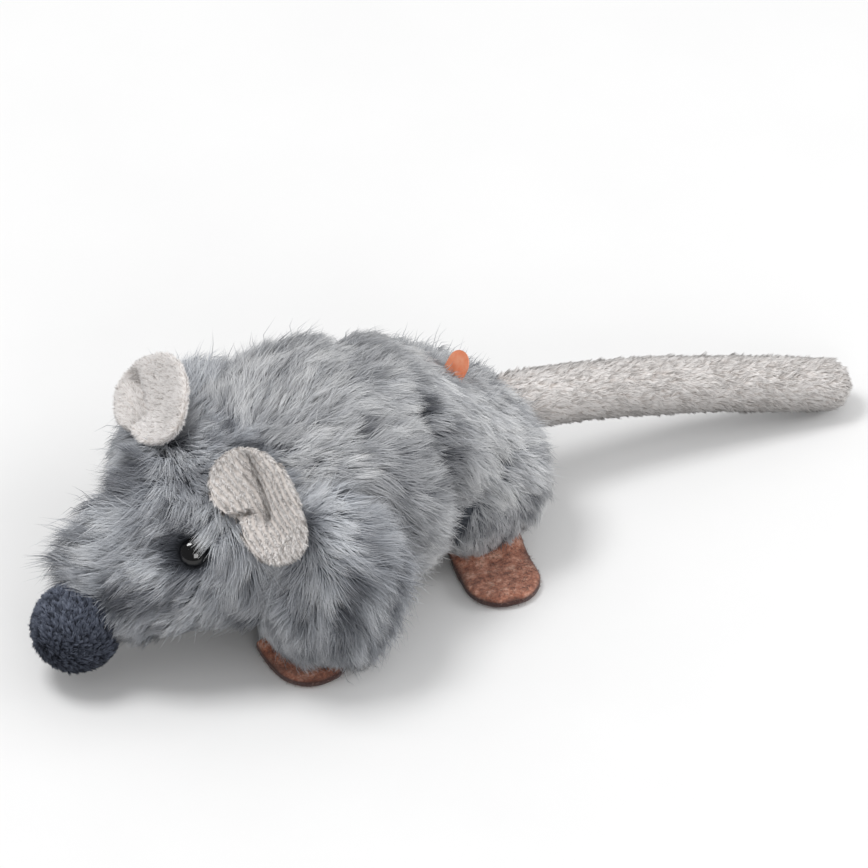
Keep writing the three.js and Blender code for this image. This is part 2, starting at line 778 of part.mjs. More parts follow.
// Tail: a stuffed sleeve along a gentle curve, its root round about the seam's turning axis
const tailKnots = tailBendShares.map((bend, knot) => {
  const x = tailSeamX + tailReach * knot / (tailBendShares.length - 1)
  return new THREE.Vector3(x, -tailSideways * bend, tailSeamZ - (tailSeamZ - tailTipZ) * bend)
})
const tailPath = new THREE.CubicBezierCurve3(...tailKnots)
function tailForm(radius) {
  const ringAt = (along, ringRadius, shift) => {
    const centre = tailPath.getPointAt(along)
    const ahead = tailPath.getTangentAt(along)
    const across = new THREE.Vector3(0, 0, 1).cross(ahead).normalize()
    const up = new THREE.Vector3().crossVectors(ahead, across)
    centre.addScaledVector(ahead, shift)
    return Array.from({ length: tailSides }, (_, side) => {
      const angle = 2 * Math.PI * side / tailSides
      return centre.clone()
        .addScaledVector(across, ringRadius * Math.cos(angle))
        .addScaledVector(up, ringRadius * Math.sin(angle))
    })
  }
  const capSteps = [1 / 3, 2 / 3].map(share => share * Math.PI / 2)
  const root = capSteps.map(turn => ringAt(0, radius * Math.sin(turn), -radius * Math.cos(turn)))
  const tip = capSteps.map(turn => ringAt(1, radius * Math.sin(turn), radius * Math.cos(turn))).reverse()
  const shaft = Array.from({ length: tailRings + 1 }, (_, index) => ringAt(index / tailRings, radius, 0))
  const start = tailPath.getPointAt(0).addScaledVector(tailPath.getTangentAt(0), -radius)
  const end = tailPath.getPointAt(1).addScaledVector(tailPath.getTangentAt(1), radius)
  return solid(closedSkin(start, [...root, ...shaft, ...tip], end))
}
const tailBore = laneAlongX(tailRadius / 2, tailSeamX - tailRadius - overrun, tailSeamX, tailSeamZ)
const tailSleeve = tailForm(tailRadius).subtract(tailForm(tailRadius - tailCloth))
addPiece('tail_cover', tailSleeve.subtract(tailBore), shortPileFinish)
addPiece('tail_stuffing', tailForm(tailRadius - tailCloth - seamGap), stuffingFinish)

export default toy
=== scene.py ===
# %% [markdown]
# # A stuffed mouse for cats
#
# The real toy is a palm-sized mouse of long-pile fur fabric with a short-pile nose, ears and tail, felt
# feet and a small sound module inside. This lesson dresses its finished solids. Each step says what the
# piece is on the real toy, how it could be made in Blender, and why it is made this way here. Lengths are
# written in millimetres, and one constant turns them into Blender's metres.

# %% Load the frame
import json
import math

import bpy
import numpy as np
from mathutils import Vector
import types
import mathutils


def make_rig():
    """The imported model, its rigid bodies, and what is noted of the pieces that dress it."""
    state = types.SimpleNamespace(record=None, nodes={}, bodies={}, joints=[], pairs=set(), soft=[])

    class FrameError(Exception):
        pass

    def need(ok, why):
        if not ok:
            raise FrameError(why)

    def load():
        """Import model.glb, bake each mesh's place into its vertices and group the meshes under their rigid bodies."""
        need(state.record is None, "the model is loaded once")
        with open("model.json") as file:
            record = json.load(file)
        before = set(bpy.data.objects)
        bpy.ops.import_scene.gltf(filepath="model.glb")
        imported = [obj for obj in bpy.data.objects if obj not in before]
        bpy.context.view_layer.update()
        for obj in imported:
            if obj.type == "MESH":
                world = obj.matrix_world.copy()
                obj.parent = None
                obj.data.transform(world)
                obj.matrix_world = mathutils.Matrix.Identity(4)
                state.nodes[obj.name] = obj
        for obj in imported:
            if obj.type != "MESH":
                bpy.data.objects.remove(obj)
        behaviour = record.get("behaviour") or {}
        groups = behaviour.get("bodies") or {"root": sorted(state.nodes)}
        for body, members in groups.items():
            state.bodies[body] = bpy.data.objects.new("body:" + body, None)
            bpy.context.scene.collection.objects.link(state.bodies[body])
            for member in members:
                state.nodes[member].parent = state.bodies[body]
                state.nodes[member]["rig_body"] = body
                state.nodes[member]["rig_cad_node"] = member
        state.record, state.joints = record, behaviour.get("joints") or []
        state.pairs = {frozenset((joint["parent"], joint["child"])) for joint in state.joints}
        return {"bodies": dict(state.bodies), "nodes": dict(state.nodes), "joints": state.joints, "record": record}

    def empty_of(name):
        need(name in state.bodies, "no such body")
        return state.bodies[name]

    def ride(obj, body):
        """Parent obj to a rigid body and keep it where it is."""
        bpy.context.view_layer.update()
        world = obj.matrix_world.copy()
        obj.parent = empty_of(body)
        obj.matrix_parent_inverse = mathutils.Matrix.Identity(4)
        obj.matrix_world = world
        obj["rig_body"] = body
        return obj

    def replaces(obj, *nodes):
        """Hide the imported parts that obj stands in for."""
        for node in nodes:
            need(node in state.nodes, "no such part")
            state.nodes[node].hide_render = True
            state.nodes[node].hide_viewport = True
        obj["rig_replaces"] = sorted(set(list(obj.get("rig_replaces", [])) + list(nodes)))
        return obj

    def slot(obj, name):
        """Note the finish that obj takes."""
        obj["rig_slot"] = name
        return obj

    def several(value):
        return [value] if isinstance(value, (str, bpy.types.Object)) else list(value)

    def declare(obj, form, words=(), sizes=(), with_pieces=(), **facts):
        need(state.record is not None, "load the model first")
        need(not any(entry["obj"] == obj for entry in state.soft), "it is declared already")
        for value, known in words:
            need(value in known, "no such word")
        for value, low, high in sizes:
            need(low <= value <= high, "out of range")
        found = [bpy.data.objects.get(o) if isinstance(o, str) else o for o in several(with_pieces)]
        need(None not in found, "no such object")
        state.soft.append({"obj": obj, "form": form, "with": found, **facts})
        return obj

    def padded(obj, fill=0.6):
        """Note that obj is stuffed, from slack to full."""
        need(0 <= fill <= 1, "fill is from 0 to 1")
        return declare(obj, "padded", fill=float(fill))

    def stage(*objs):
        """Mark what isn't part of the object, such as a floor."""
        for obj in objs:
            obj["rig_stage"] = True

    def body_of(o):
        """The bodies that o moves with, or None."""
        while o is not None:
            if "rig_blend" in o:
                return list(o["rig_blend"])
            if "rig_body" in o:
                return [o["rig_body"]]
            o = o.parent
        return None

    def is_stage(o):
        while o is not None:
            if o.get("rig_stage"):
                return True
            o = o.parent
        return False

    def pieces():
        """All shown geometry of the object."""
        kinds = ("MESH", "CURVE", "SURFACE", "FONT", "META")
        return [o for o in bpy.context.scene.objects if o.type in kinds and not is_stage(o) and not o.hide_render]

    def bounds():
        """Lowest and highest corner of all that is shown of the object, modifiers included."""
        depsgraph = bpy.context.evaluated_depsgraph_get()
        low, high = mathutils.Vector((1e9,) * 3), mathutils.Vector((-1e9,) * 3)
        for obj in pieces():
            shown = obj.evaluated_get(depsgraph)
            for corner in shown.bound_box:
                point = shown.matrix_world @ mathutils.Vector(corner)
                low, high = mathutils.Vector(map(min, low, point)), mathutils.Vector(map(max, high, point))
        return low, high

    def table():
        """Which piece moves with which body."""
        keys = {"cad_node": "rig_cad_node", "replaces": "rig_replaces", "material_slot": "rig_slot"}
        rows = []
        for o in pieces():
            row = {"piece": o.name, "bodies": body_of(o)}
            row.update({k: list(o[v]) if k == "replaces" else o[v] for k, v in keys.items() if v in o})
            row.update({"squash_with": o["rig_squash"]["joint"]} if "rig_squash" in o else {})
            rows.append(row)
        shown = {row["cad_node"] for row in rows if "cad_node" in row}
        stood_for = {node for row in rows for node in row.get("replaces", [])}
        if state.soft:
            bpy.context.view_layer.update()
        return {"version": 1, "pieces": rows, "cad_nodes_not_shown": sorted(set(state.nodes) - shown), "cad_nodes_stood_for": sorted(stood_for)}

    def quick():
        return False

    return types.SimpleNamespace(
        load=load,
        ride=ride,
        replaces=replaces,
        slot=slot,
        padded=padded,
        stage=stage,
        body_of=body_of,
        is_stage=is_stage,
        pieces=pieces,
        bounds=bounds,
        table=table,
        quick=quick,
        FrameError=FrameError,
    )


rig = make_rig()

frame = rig.load()
cad_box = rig.bounds()
MILLIMETRE = 0.001
print("CAD box in metres:", [[round(value, 4) for value in corner] for corner in cad_box])

# %% [markdown]
# ## Camera
#
# The toy is seen from its front left and from well above. A close camera would swell the nose, so this
# one stands eight metres away with a very long lens, which keeps the proportions nearly as in a drawing.

# %% Camera
AZIMUTH, ELEVATION = math.radians(-35), math.radians(40)
CAMERA_DISTANCE = 8.0
PICTURE_WIDTH = 179.3 * MILLIMETRE
SENSOR_WIDTH = 36
TARGET = Vector((21.96, 3.08, 18.0)) * MILLIMETRE


def place_camera():
    """The camera looks back along the line that leaves the target at the azimuth and elevation. Its lens
    is the sensor width times the distance over the width that the picture takes in."""
    level = math.cos(ELEVATION)
    toward = Vector((math.sin(AZIMUTH) * level, -math.cos(AZIMUTH) * level, math.sin(ELEVATION)))
    data = bpy.data.cameras.new("camera")
    data.sensor_width = SENSOR_WIDTH
    data.lens = SENSOR_WIDTH * CAMERA_DISTANCE / PICTURE_WIDTH
    data.clip_end = 4 * CAMERA_DISTANCE
    camera = bpy.data.objects.new("camera", data)
    camera.location = TARGET + toward * CAMERA_DISTANCE
    camera.rotation_euler = (-toward).to_track_quat("-Z", "Y").to_euler()
    bpy.context.scene.collection.objects.link(camera)
    bpy.context.scene.camera = camera
    return camera


camera = place_camera()
print("lens in mm:", round(camera.data.lens, 1))

# %% [markdown]
# ## Light, background and floor
#
# A stuffed toy is shown under large soft lights, so that every hair has a light side and a soft dark one.
# Area lamps or an even sky would each do alone. Together the sky keeps the colours as written, and three
# lamps, above, beside and in front of the toy, give the fur its direction and the eyes their spots of
# light. What the camera sees behind the toy is plain white.

# %% Light
LAMPS = {
    # offset from the target and size in metres, watts
    "key_lamp": ((-0.35, 0.25, 1.0), 0.4, 5.4),
    "side_lamp": ((0.64, -0.4, 0.264), 0.36, 2.3),
    "front_lamp": ((-0.45, -0.95, 0.5), 0.4, 1.7),
}


def add_lamps():
    """Each lamp stands at an offset from the target and looks at it, with its size in metres and its
    watts."""
    for name, (offset, size, watts) in LAMPS.items():
        data = bpy.data.lights.new(name, "AREA")
        data.size, data.energy = size, watts
        lamp = bpy.data.objects.new(name, data)
        lamp.location = TARGET + Vector(offset)
        lamp.rotation_euler = (-Vector(offset)).to_track_quat("-Z", "Y").to_euler()
        bpy.context.scene.collection.objects.link(lamp)


add_lamps()
bpy.context.scene.view_settings.view_transform = "Standard"
print("lamps:", list(LAMPS))

# %% [markdown]
# ## Helpers for materials
#
# Every finish starts from a Principled shader. Constants go straight onto its sockets, because the export
# keeps them there, and only what changes over the surface comes from nodes. One small function adds any
# node.


# %% Material helpers
def colour(hex_code):
    """An sRGB hex code as linear red, green, blue and alpha: each channel is (c + 0.055) / 1.055 to the
    power 2.4."""
    channels = [int(hex_code[start:start + 2], 16) / 255 for start in (1, 3, 5)]
    return (*[((c + 0.055) / 1.055) ** 2.4 if c > 0.04045 else c / 12.92 for c in channels], 1)


def add_node(material, kind, sockets=None, stops=None, **properties):
    """One node, in a material or the world. Properties are its own settings, sockets maps an input to a
    value or to the output it is linked from, and stops are a ramp's places and colours."""
    tree = material.node_tree
    node = tree.nodes.new("ShaderNode" + kind)
    for name, value in properties.items():
        setattr(node, name, value)
    for key, value in (sockets or {}).items():
        if isinstance(value, bpy.types.NodeSocket):
            tree.links.new(value, node.inputs[key])
        else:
            node.inputs[key].default_value = value
    if stops:
        ramp = node.color_ramp.elements
        while len(ramp) < len(stops):
            ramp.new(0.5)
        for element, (place, hex_code) in zip(ramp, stops):
            element.position, element.color = place, colour(hex_code)
    return node


def new_material(name, **constants):
    """A material with one Principled shader, whose sockets get these constants."""
    material = bpy.data.materials.new(name)
    material.use_nodes = True
    shader = material.node_tree.nodes["Principled BSDF"]
    for key, value in constants.items():
        shader.inputs[key.replace("_", " ")].default_value = value
    return material


def wire(material, **outputs):
    """Links outputs to the Principled shader's sockets of those names."""
    shader = material.node_tree.nodes["Principled BSDF"]
    for key, output in outputs.items():
        material.node_tree.links.new(output, shader.inputs[key.replace("_", " ")])


def cloth_bump(material, pattern, depth):
    """Bump from a pattern, with its depth in millimetres."""
    return add_node(material, "Bump", {"Height": pattern, "Distance": depth * MILLIMETRE}).outputs["Normal"]


def object_place(material):
    """The shader's place on the toy in metres."""
    return add_node(material, "TexCoord").outputs["Object"]


def noise(material, size, detail=3.0, rough=0.55):
    """Noise with features of a size in millimetres."""
    sockets = {"Vector": object_place(material), "Scale": 1 / (size * MILLIMETRE), "Detail": detail,
               "Roughness": rough}
    return add_node(material, "TexNoise", sockets).outputs["Fac"]


def is_seen(owner):
    """1 where the camera or a clear film looks and 0 for light that bounces: the greater of the two ray
    kinds."""
    path = add_node(owner, "LightPath").outputs
    seen = {0: path["Is Camera Ray"], 1: path["Is Transmission Ray"]}
    return add_node(owner, "Math", seen, operation="MAXIMUM").outputs[0]


# %% [markdown]
# The sky is white wherever it is seen, a softer white for what lights the toy, and dim where it is
# mirrored, so that the polished eyes stay black but for the lamps in them. The floor is a plain pale
# board that only has to take the toy's shadow. Light that bounces off it meets a darker grey, or it would
# fill the shaded underside of the fur, which stays dark on the real toy.

# %% Sky
SKY_STRENGTH, SKY_REFLECTED = 0.66, 0.12
world = bpy.data.worlds.new("soft_sky")
world.use_nodes = True
mirrored = add_node(world, "LightPath").outputs["Is Glossy Ray"]
bounced = add_node(world, "MapRange", {"Value": mirrored, "To Min": SKY_STRENGTH, "To Max": SKY_REFLECTED})
seen = {"Value": is_seen(world), "To Min": bounced.outputs["Result"], "To Max": 1.0}
strength = add_node(world, "MapRange", seen)
sky = world.node_tree.nodes["Background"]
sky.inputs["Color"].default_value = (1, 1, 1, 1)
world.node_tree.links.new(strength.outputs["Result"], sky.inputs["Strength"])
bpy.context.scene.world = world
print("sky strength:", SKY_STRENGTH, "and mirrored:", SKY_REFLECTED)

# %% Floor
FLOOR_HALF = 2.0
FLOOR_CLOUDS = 40


def lay_floor():
    """A square board at the toy's rest height, marked as stage: matt paint, whose tone drifts in faint
    clouds."""
    mesh = bpy.data.meshes.new("floor")
    corners = [(x * FLOOR_HALF, y * FLOOR_HALF, 0) for x, y in ((-1, -1), (1, -1), (1, 1), (-1, 1))]
    mesh.from_pydata(corners, [], [(0, 1, 2, 3)])
    floor = bpy.data.objects.new("floor", mesh)
    bpy.context.scene.collection.objects.link(floor)
    paint = new_material("painted board, matt", Roughness=0.9)
    ramp = add_node(paint, "ValToRGB", {"Fac": noise(paint, FLOOR_CLOUDS)}, [(0, "#E9E9E9"), (1, "#EEEEEE")])
    tones = {0: is_seen(paint), 6: colour("#A2A2A2"), 7: ramp.outputs[0]}
    shown = add_node(paint, "Mix", tones, data_type="RGBA")
    wire(paint, Base_Color=shown.outputs[2])
    mesh.materials.append(paint)
    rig.stage(floor)


lay_floor()
print("floor:", 2 * FLOOR_HALF, "metres wide")

# %% [markdown]
# ## From arrays to meshes
#
# A form is worked out as whole arrays of points. Two helpers bring them into Blender: one closes rows of
# rings into a skin, and one writes the mesh and gives the piece its name, finish, body and slot. A third
# makes directions of any vectors.


# %% Mesh helpers
def close_form(rows):
    """Rows of rings, from one end to the other, become one closed skin: the first and last row shrink to
    a point, quads join the rings and fans close the ends. Faces are turned round if the signed volume is
    negative."""
    count, sides = rows.shape[:2]
    ring = np.arange(sides)
    after = (ring + 1) % sides
    near = 1 + (np.arange(count - 3) * sides)[:, None]
    quads = np.stack([near + ring, near + after, near + sides + after, near + sides + ring], -1)
    quads = quads.reshape(-1, 4)
    points = np.vstack([rows[0].mean(0), rows[1:-1].reshape(-1, 3), rows[-1].mean(0)])
    last = len(points) - 1
    start = np.stack([np.zeros(sides, int), 1 + after, 1 + ring], -1)
    end = np.stack([np.full(sides, last), last - sides + ring, last - sides + after], -1)
    faces = [quads, start, end]
    # a quad counts as two triangles: its first three corners, and the half added here
    halves = [*faces, quads[:, [0, 2, 3]]]
    volume = sum((points[f[:, 0]] * np.cross(points[f[:, 1]], points[f[:, 2]])).sum() for f in halves) / 6
    return points, [f[:, ::-1] if volume < 0 else f for f in faces]


def make_piece(name, points, faces, material, body="toy", slot=None, uv=None, normals=None):
    """A mesh from points in millimetres and arrays of equal faces, riding on a body. uv gives each point
    its place on the bake map, and normals the way it faces the light."""
    mesh = bpy.data.meshes.new(name)
    mesh.vertices.add(len(points))
    mesh.vertices.foreach_set("co", np.asarray(points * MILLIMETRE, np.float32).ravel())
    corners = np.concatenate([f.ravel() for f in faces]).astype(np.int32)
    sizes = np.concatenate([np.full(len(f), f.shape[1]) for f in faces])
    mesh.loops.add(len(corners))
    mesh.loops.foreach_set("vertex_index", corners)
    mesh.polygons.add(len(sizes))
    mesh.polygons.foreach_set("loop_start", (np.cumsum(sizes) - sizes).astype(np.int32))
    mesh.polygons.foreach_set("use_smooth", np.ones(len(sizes), bool))
    mesh.update(calc_edges=True)
    if uv is not None:
        layer = mesh.uv_layers.new(name="OFBake")
        layer.data.foreach_set("uv", np.asarray(uv[corners], np.float32).ravel())
    if normals is not None:
        mesh.normals_split_custom_set_from_vertices(normals)
    mesh.materials.append(material)
    piece = bpy.data.objects.new(name, mesh)
    bpy.context.scene.collection.objects.link(piece)
    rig.ride(piece, body)
    if slot:
        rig.slot(piece, slot)
    return piece


LEAST_LENGTH = 1e-9


def unit(vectors):
    """Vectors divided by their lengths, or by a tiny number where a length is none."""
    return vectors / np.maximum(np.linalg.norm(vectors, axis=-1, keepdims=True), LEAST_LENGTH)

# %% [markdown]
# ## The stuffed forms
#
# Under the pile, the body and head are sewn tubes, stuffed tight. Sculpting or a cloth simulation could
# swell them, but the pattern of half width, rise and fall along the toy is what a sewer cuts from, so
# each form is a profile of those three carried along X. They follow the solids of the frame, and the
# skins made from them carry the roots of the fur.

# %% Profiles
BODY = {
    "front": -40, "length": 77, "width": 53, "height": 47, "base": -0.5, "end": 0.55,
    "widths": [0.95, 1.04, 1.03, 1, 0.95, 0.9, 0.89, 0.9, 0.78],
    "rises": [0.45, 0.52, 0.507, 0.52, 0.52, 0.513, 0.44, 0.32, 0.26],
    "middles": [0.47, 0.475, 0.48, 0.48, 0.48, 0.47, 0.445, 0.415, 0.42],
    "falls": [0.45, 0.5, 0.488, 0.489, 0.48, 0.478, 0.47, 0.43, 0.36],
}
HEAD = {
    "front": -66, "length": 50, "width": 52, "height": 42, "base": 0, "end": 0.62,
    "widths": [0.5, 0.62, 0.7, 0.885, 1, 1, 1],
    "rises": [0.27, 0.314, 0.346, 0.405, 0.48, 0.5, 0.5],
    "middles": [0.357, 0.43, 0.52, 0.543, 0.56, 0.57, 0.57],
    "falls": [0.2, 0.21, 0.25, 0.35, 0.46, 0.5, 0.5],
}
UPPER_SHARE, LOWER_SHARE = 0.8, 0.98
FLOOR_GAP = 0.05
END_MARGIN, FAR_OUTSIDE = 1e-4, 9.0


def profile(shares, along):
    """A smooth line through evenly spaced shares: between two knots, the cubic whose slope at each knot
    is half the step between that knot's neighbours."""
    shares = np.asarray(shares, float)
    place = np.clip(along, 0, 1) * (len(shares) - 1)
    knot = np.minimum(place.astype(int), len(shares) - 2)
    part = place - knot
    before, here = shares[np.maximum(knot - 1, 0)], shares[knot]
    there, beyond = shares[knot + 1], shares[np.minimum(knot + 2, len(shares) - 1)]
    rise_here, rise_there = (there - before) / 2, (beyond - here) / 2
    cubic = (2 * here - 2 * there + rise_here + rise_there) * part ** 3
    square = (-3 * here + 3 * there - 2 * rise_here - rise_there) * part ** 2
    return cubic + square + rise_here * part + here


def signed_power(value, share):
    """A power that keeps the sign, which makes a round section slightly square."""
    return np.sign(value) * np.abs(value) ** share


def stuffed_measures(form, along):
    """Half width, rise, fall and middle height of a form at shares of its length, before its ends close
    in."""
    half = form["width"] / 2 * profile(form["widths"], along)
    rise, fall = (form["height"] * profile(form[key], along) for key in ("rises", "falls"))
    return half, rise, fall, form["base"] + form["height"] * profile(form["middles"], along)


def stuffed_form(form, rings, sides):
    """Rows of rings: half width, rise and fall close in at the ends as a power of the sine of the way
    along, and each ring is a slightly square oval that never goes below the floor."""
    turn = np.linspace(0, np.pi, rings)
    along = (1 - np.cos(turn)) / 2
    close = np.sin(turn).clip(0) ** form["end"]
    half, rise, fall, middle = stuffed_measures(form, along)
    angle = np.linspace(0, 2 * np.pi, sides, endpoint=False)
    upper = np.sin(angle) >= 0
    share = np.where(upper, UPPER_SHARE, LOWER_SHARE)
    x = form["front"] + form["length"] * along
    reach = np.where(upper, rise[:, None], fall[:, None])
    y = half[:, None] * close[:, None] * signed_power(np.cos(angle), share)
    z = middle[:, None] + reach * close[:, None] * signed_power(np.sin(angle), share)
    return np.stack([np.broadcast_to(x[:, None], y.shape), y, np.maximum(z, FLOOR_GAP)], -1)


def turn_at(along):
    """The half turn that each share of a length stands for, just short of the ends, and which shares are
    inside."""
    return np.arccos(1 - 2 * np.clip(along, END_MARGIN, 1 - END_MARGIN)), (along > 0) & (along < 1)


def depth_in_form(form, points):
    """Under 1 inside a stuffed form and over 1 outside: the section's own power law, with the ends closed
    in."""
    along = (points[:, 0] - form["front"]) / form["length"]
    turn, inside = turn_at(along)
    close = np.sin(turn) ** form["end"]
    half, rise, fall, middle = stuffed_measures(form, along)
    up = points[:, 2] - middle
    share = np.where(up >= 0, UPPER_SHARE, LOWER_SHARE)
    reach = np.where(up >= 0, rise, fall) * close
    value = (np.abs(points[:, 1]) / (half * close)) ** (2 / share) + (np.abs(up) / reach) ** (2 / share)
    return np.where(inside, value, FAR_OUTSIDE)


print("profiles' knots:", {"body": len(BODY["widths"]), "head": len(HEAD["widths"])})

# %% [markdown]
# The legs are pods sewn onto the body's sides: they swell along a profile too, but lean, so they are made
# in their own frame and turned into place.

# %% Legs' form
LEG_SWELLS = [0.86, 0.96, 1, 1, 0.94, 0.84]
LEG_END = 0.8
SIDES = ((-1, "left"), (1, "right"))
LEGS = {
    # the lean is in degrees
    "foreleg": {"place": (-24, 22.5, 20.4), "length": 39.2, "across": 30, "deep": 28, "lean": 4},
    "haunch": {"place": (20, 14.5, 16.9), "length": 26.4, "across": 28, "deep": 19, "lean": 14},
}


def lean(points, turn):
    """Points turned about X by degrees."""
    cos, sin = math.cos(math.radians(turn)), math.sin(math.radians(turn))
    return points @ np.array([[1, 0, 0], [0, cos, sin], [0, -sin, cos]])


def leg_form(leg, side, rings, sides):
    """Rows of ovals along the pod's own upright axis, each the profile's swell times a power of the
    sine."""
    turn = np.linspace(0, np.pi, rings)
    along = (1 - np.cos(turn)) / 2
    swell = (profile(LEG_SWELLS, along) * np.sin(turn).clip(0) ** LEG_END)[:, None]
    angle = np.linspace(0, 2 * np.pi, sides, endpoint=False)
    x, y = leg["across"] / 2 * swell * np.cos(angle), leg["deep"] / 2 * swell * np.sin(angle)
    z = np.broadcast_to((leg["length"] * (along - 0.5))[:, None], x.shape)
    points = lean(np.stack([x, y, z], -1), side * leg["lean"])
    points += np.array(leg["place"]) * (1, side, 1)
    points[..., 2] = np.maximum(points[..., 2], FLOOR_GAP)
    return points


def depth_in_leg(leg, side, points):
    """Under 1 inside a leg's pod and over 1 outside."""
    own = lean(points - np.array(leg["place"]) * (1, side, 1), -side * leg["lean"])
    along = own[:, 2] / leg["length"] + 0.5
    turn, inside = turn_at(along)
    swell = profile(LEG_SWELLS, along) * np.sin(turn) ** LEG_END
    value = (own[:, 0] / (leg["across"] / 2 * swell)) ** 2 + (own[:, 1] / (leg["deep"] / 2 * swell)) ** 2
    return np.where(inside, value, FAR_OUTSIDE)


# %% [markdown]
# A stuffed cover is never quite smooth. The stuffing is lumpy, a stitched crease runs between flank and
# haunch, and the eyes are pulled in. Each of these is a small move along the skin's own normal.

# %% Lumps and creases
CREASES = [
    # places on one side, depth, half width
    ([(6, 14, 43), (6, 20, 38), (8, 23, 30), (9, 25, 20), (8, 24, 8)], 2.6, 2.6),
    ([(22, 2, 44), (23, 9, 41), (25, 14, 35)], 1.6, 2.4),
    ([(-32, 4, 45), (-31, 12, 43)], 1.5, 3.0),
    ([(-49.5, 12.8, 31.5), (-48, 14, 30)], 1.8, 3.6),
]
LUMP_SIZE, LUMP_HEIGHT = 15, 0.7
WAVES, WAVE_GAIN = 12, 2.4
FLOOR_FADE = 6


def mottle(points, size, draw):
    """Slow random ups and downs over the toy: the mean of twelve sine waves of random direction, whose
    length is about the size given."""
    waves = draw.normal(0, 1, (WAVES, 3)) / size
    return np.sin(points @ waves.T * np.pi + draw.uniform(0, 2 * np.pi, WAVES)).mean(-1) * WAVE_GAIN


def fold_over(points):
    """Points with the left side laid over the right one, so that one table serves both."""
    return np.abs(points * (0, 1, 0)) + points * (1, 0, 1)


def nearness(points, places, reach):
    """How near each point is to each place: a bell curve of the distance over the reach."""
    away = ((points[:, None] - places) ** 2).sum(-1)
    return np.exp(-away / (2 * reach ** 2))


def in_creases(points):
    """Depth of the creases at each point: along each crease's line of places a bell curve of the
    distance."""
    folded = fold_over(points)
    depth = np.zeros(points.shape[:-1])
    for places, deepest, half_width in CREASES:
        knots = np.array(places, float)
        steps = np.linspace(0, len(knots) - 1, 4 * len(knots))
        line = np.stack([np.interp(steps, np.arange(len(knots)), knots[:, axis]) for axis in range(3)], -1)
        away = ((folded[..., None, :] - line) ** 2).sum(-1).min(-1)
        depth = np.maximum(depth, deepest * np.exp(-away / (2 * half_width ** 2)))
    return depth


def sculpt(rows, draw):
    """Rows moved along their normals, which are the cross products of the steps along and round the form.
    The ends and what lies on the floor stay."""
    along = np.gradient(rows, axis=0)
    around = np.roll(rows, -1, axis=1) - np.roll(rows, 1, axis=1)
    normals = unit(np.cross(around, along))
    outward = np.sign(np.einsum("ijk,ijk->", normals, rows - rows.mean((0, 1))))
    move = LUMP_HEIGHT * mottle(rows, LUMP_SIZE, draw) - in_creases(rows)
    move *= np.clip(rows[..., 2] / FLOOR_FADE, 0, 1)
    move[[0, -1]] = 0
    moved = rows + outward * normals * move[..., None]
    moved[..., 2] = np.maximum(moved[..., 2], FLOOR_GAP)
    return moved


# %% Skins
SKIN_RINGS, SKIN_SIDES = 97, 120
LEG_RINGS, LEG_SIDES = 49, 64
skins = {name: stuffed_form(form, SKIN_RINGS, SKIN_SIDES) for name, form in (("body", BODY), ("head", HEAD))}
for leg_name, leg in LEGS.items():
    for side, label in SIDES:
        skins[f"{leg_name}_{label}"] = leg_form(leg, side, LEG_RINGS, LEG_SIDES)
lump_draw = np.random.default_rng(7)
skins = {name: sculpt(rows, lump_draw) for name, rows in skins.items()}
print("skins:", {name: rows.shape[:2] for name, rows in skins.items()})

# %% [markdown]
# ### The fur's backing
#
# Long-pile fur fabric is a knitted backing with the pile drawn through it. Down between the hairs the eye
# sees only a dull dark grey, where hardly any light comes back. A knit of 0.9 mm loops gives the skin
# that dark grey, which is painted shade, and its roughness. Round the eyes the skin is painted darker still,
# nearly black, as painted shade in the hollows that the eyes' stems pull in: an attribute on its points
# says how near.

# %% Backing cloth
KNIT, KNIT_DEPTH = 0.9, 0.3
backing_cloth = new_material("knitted fur backing, polyester", Roughness=0.95, Specular_IOR_Level=0.1)
knit = noise(backing_cloth, KNIT, detail=2)
# The knit's dark greys are painted shade for the depth between the hairs.
ramp = add_node(backing_cloth, "ValToRGB", {"Fac": knit}, [(0.3, "#3C3F44"), (0.75, "#62666C")])
# Near the eyes the well attribute mixes the knit to near black: painted shade in the eyes' hollows.
well = add_node(backing_cloth, "Attribute", attribute_name="well").outputs["Fac"]
dark = add_node(backing_cloth, "Mix", {0: well, 6: ramp.outputs[0], 7: colour("#0C0C0F")}, data_type="RGBA")
wire(backing_cloth, Base_Color=dark.outputs[2], Normal=cloth_bump(backing_cloth, knit, KNIT_DEPTH))
print(backing_cloth.name, "with loops of", KNIT, "mm")

# %% Cover the skins
EYE = np.array((-49.5, 12.8, 31.5))
WELL_REACH = 4.4


def eye_wells(points):
    """How near each point is to an eye: a bell curve of the distance over the well's reach."""
    return np.exp(-((fold_over(points) - EYE) ** 2).sum(-1) / WELL_REACH ** 2)


REPLACED = {"body": ("body_cover", "body_stuffing"), "head": ("head_cover", "head_stuffing")}
for name, rows in skins.items():
    skin = make_piece(f"{name}_skin", *close_form(rows), backing_cloth, slot="long_pile_fur")
    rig.replaces(skin, *REPLACED.get(name, (name,)))
    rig.padded(skin, fill=0.8)
    # Nearness to an eye sets how much painted shade the skin gets there.
    wells = skin.data.attributes.new("well", "FLOAT", "POINT")
    wells.data.foreach_set("value", eye_wells(close_form(rows)[0]).astype(np.float32))
    print(skin.name, len(skin.data.polygons), "faces")

# %% [markdown]
# ## The fur's flow
#
# On the real toy the pile lies the way its panels were cut and brushed: forward over the snout, round the
# eye, down the cheeks and legs, and back along the back and flanks. Hair could be combed by hand in a
# groom. Here a short table of arrows says it, each with its place on one side of the toy, its direction,
# the length of the pile there and how far it stands up. The other side mirrors it.

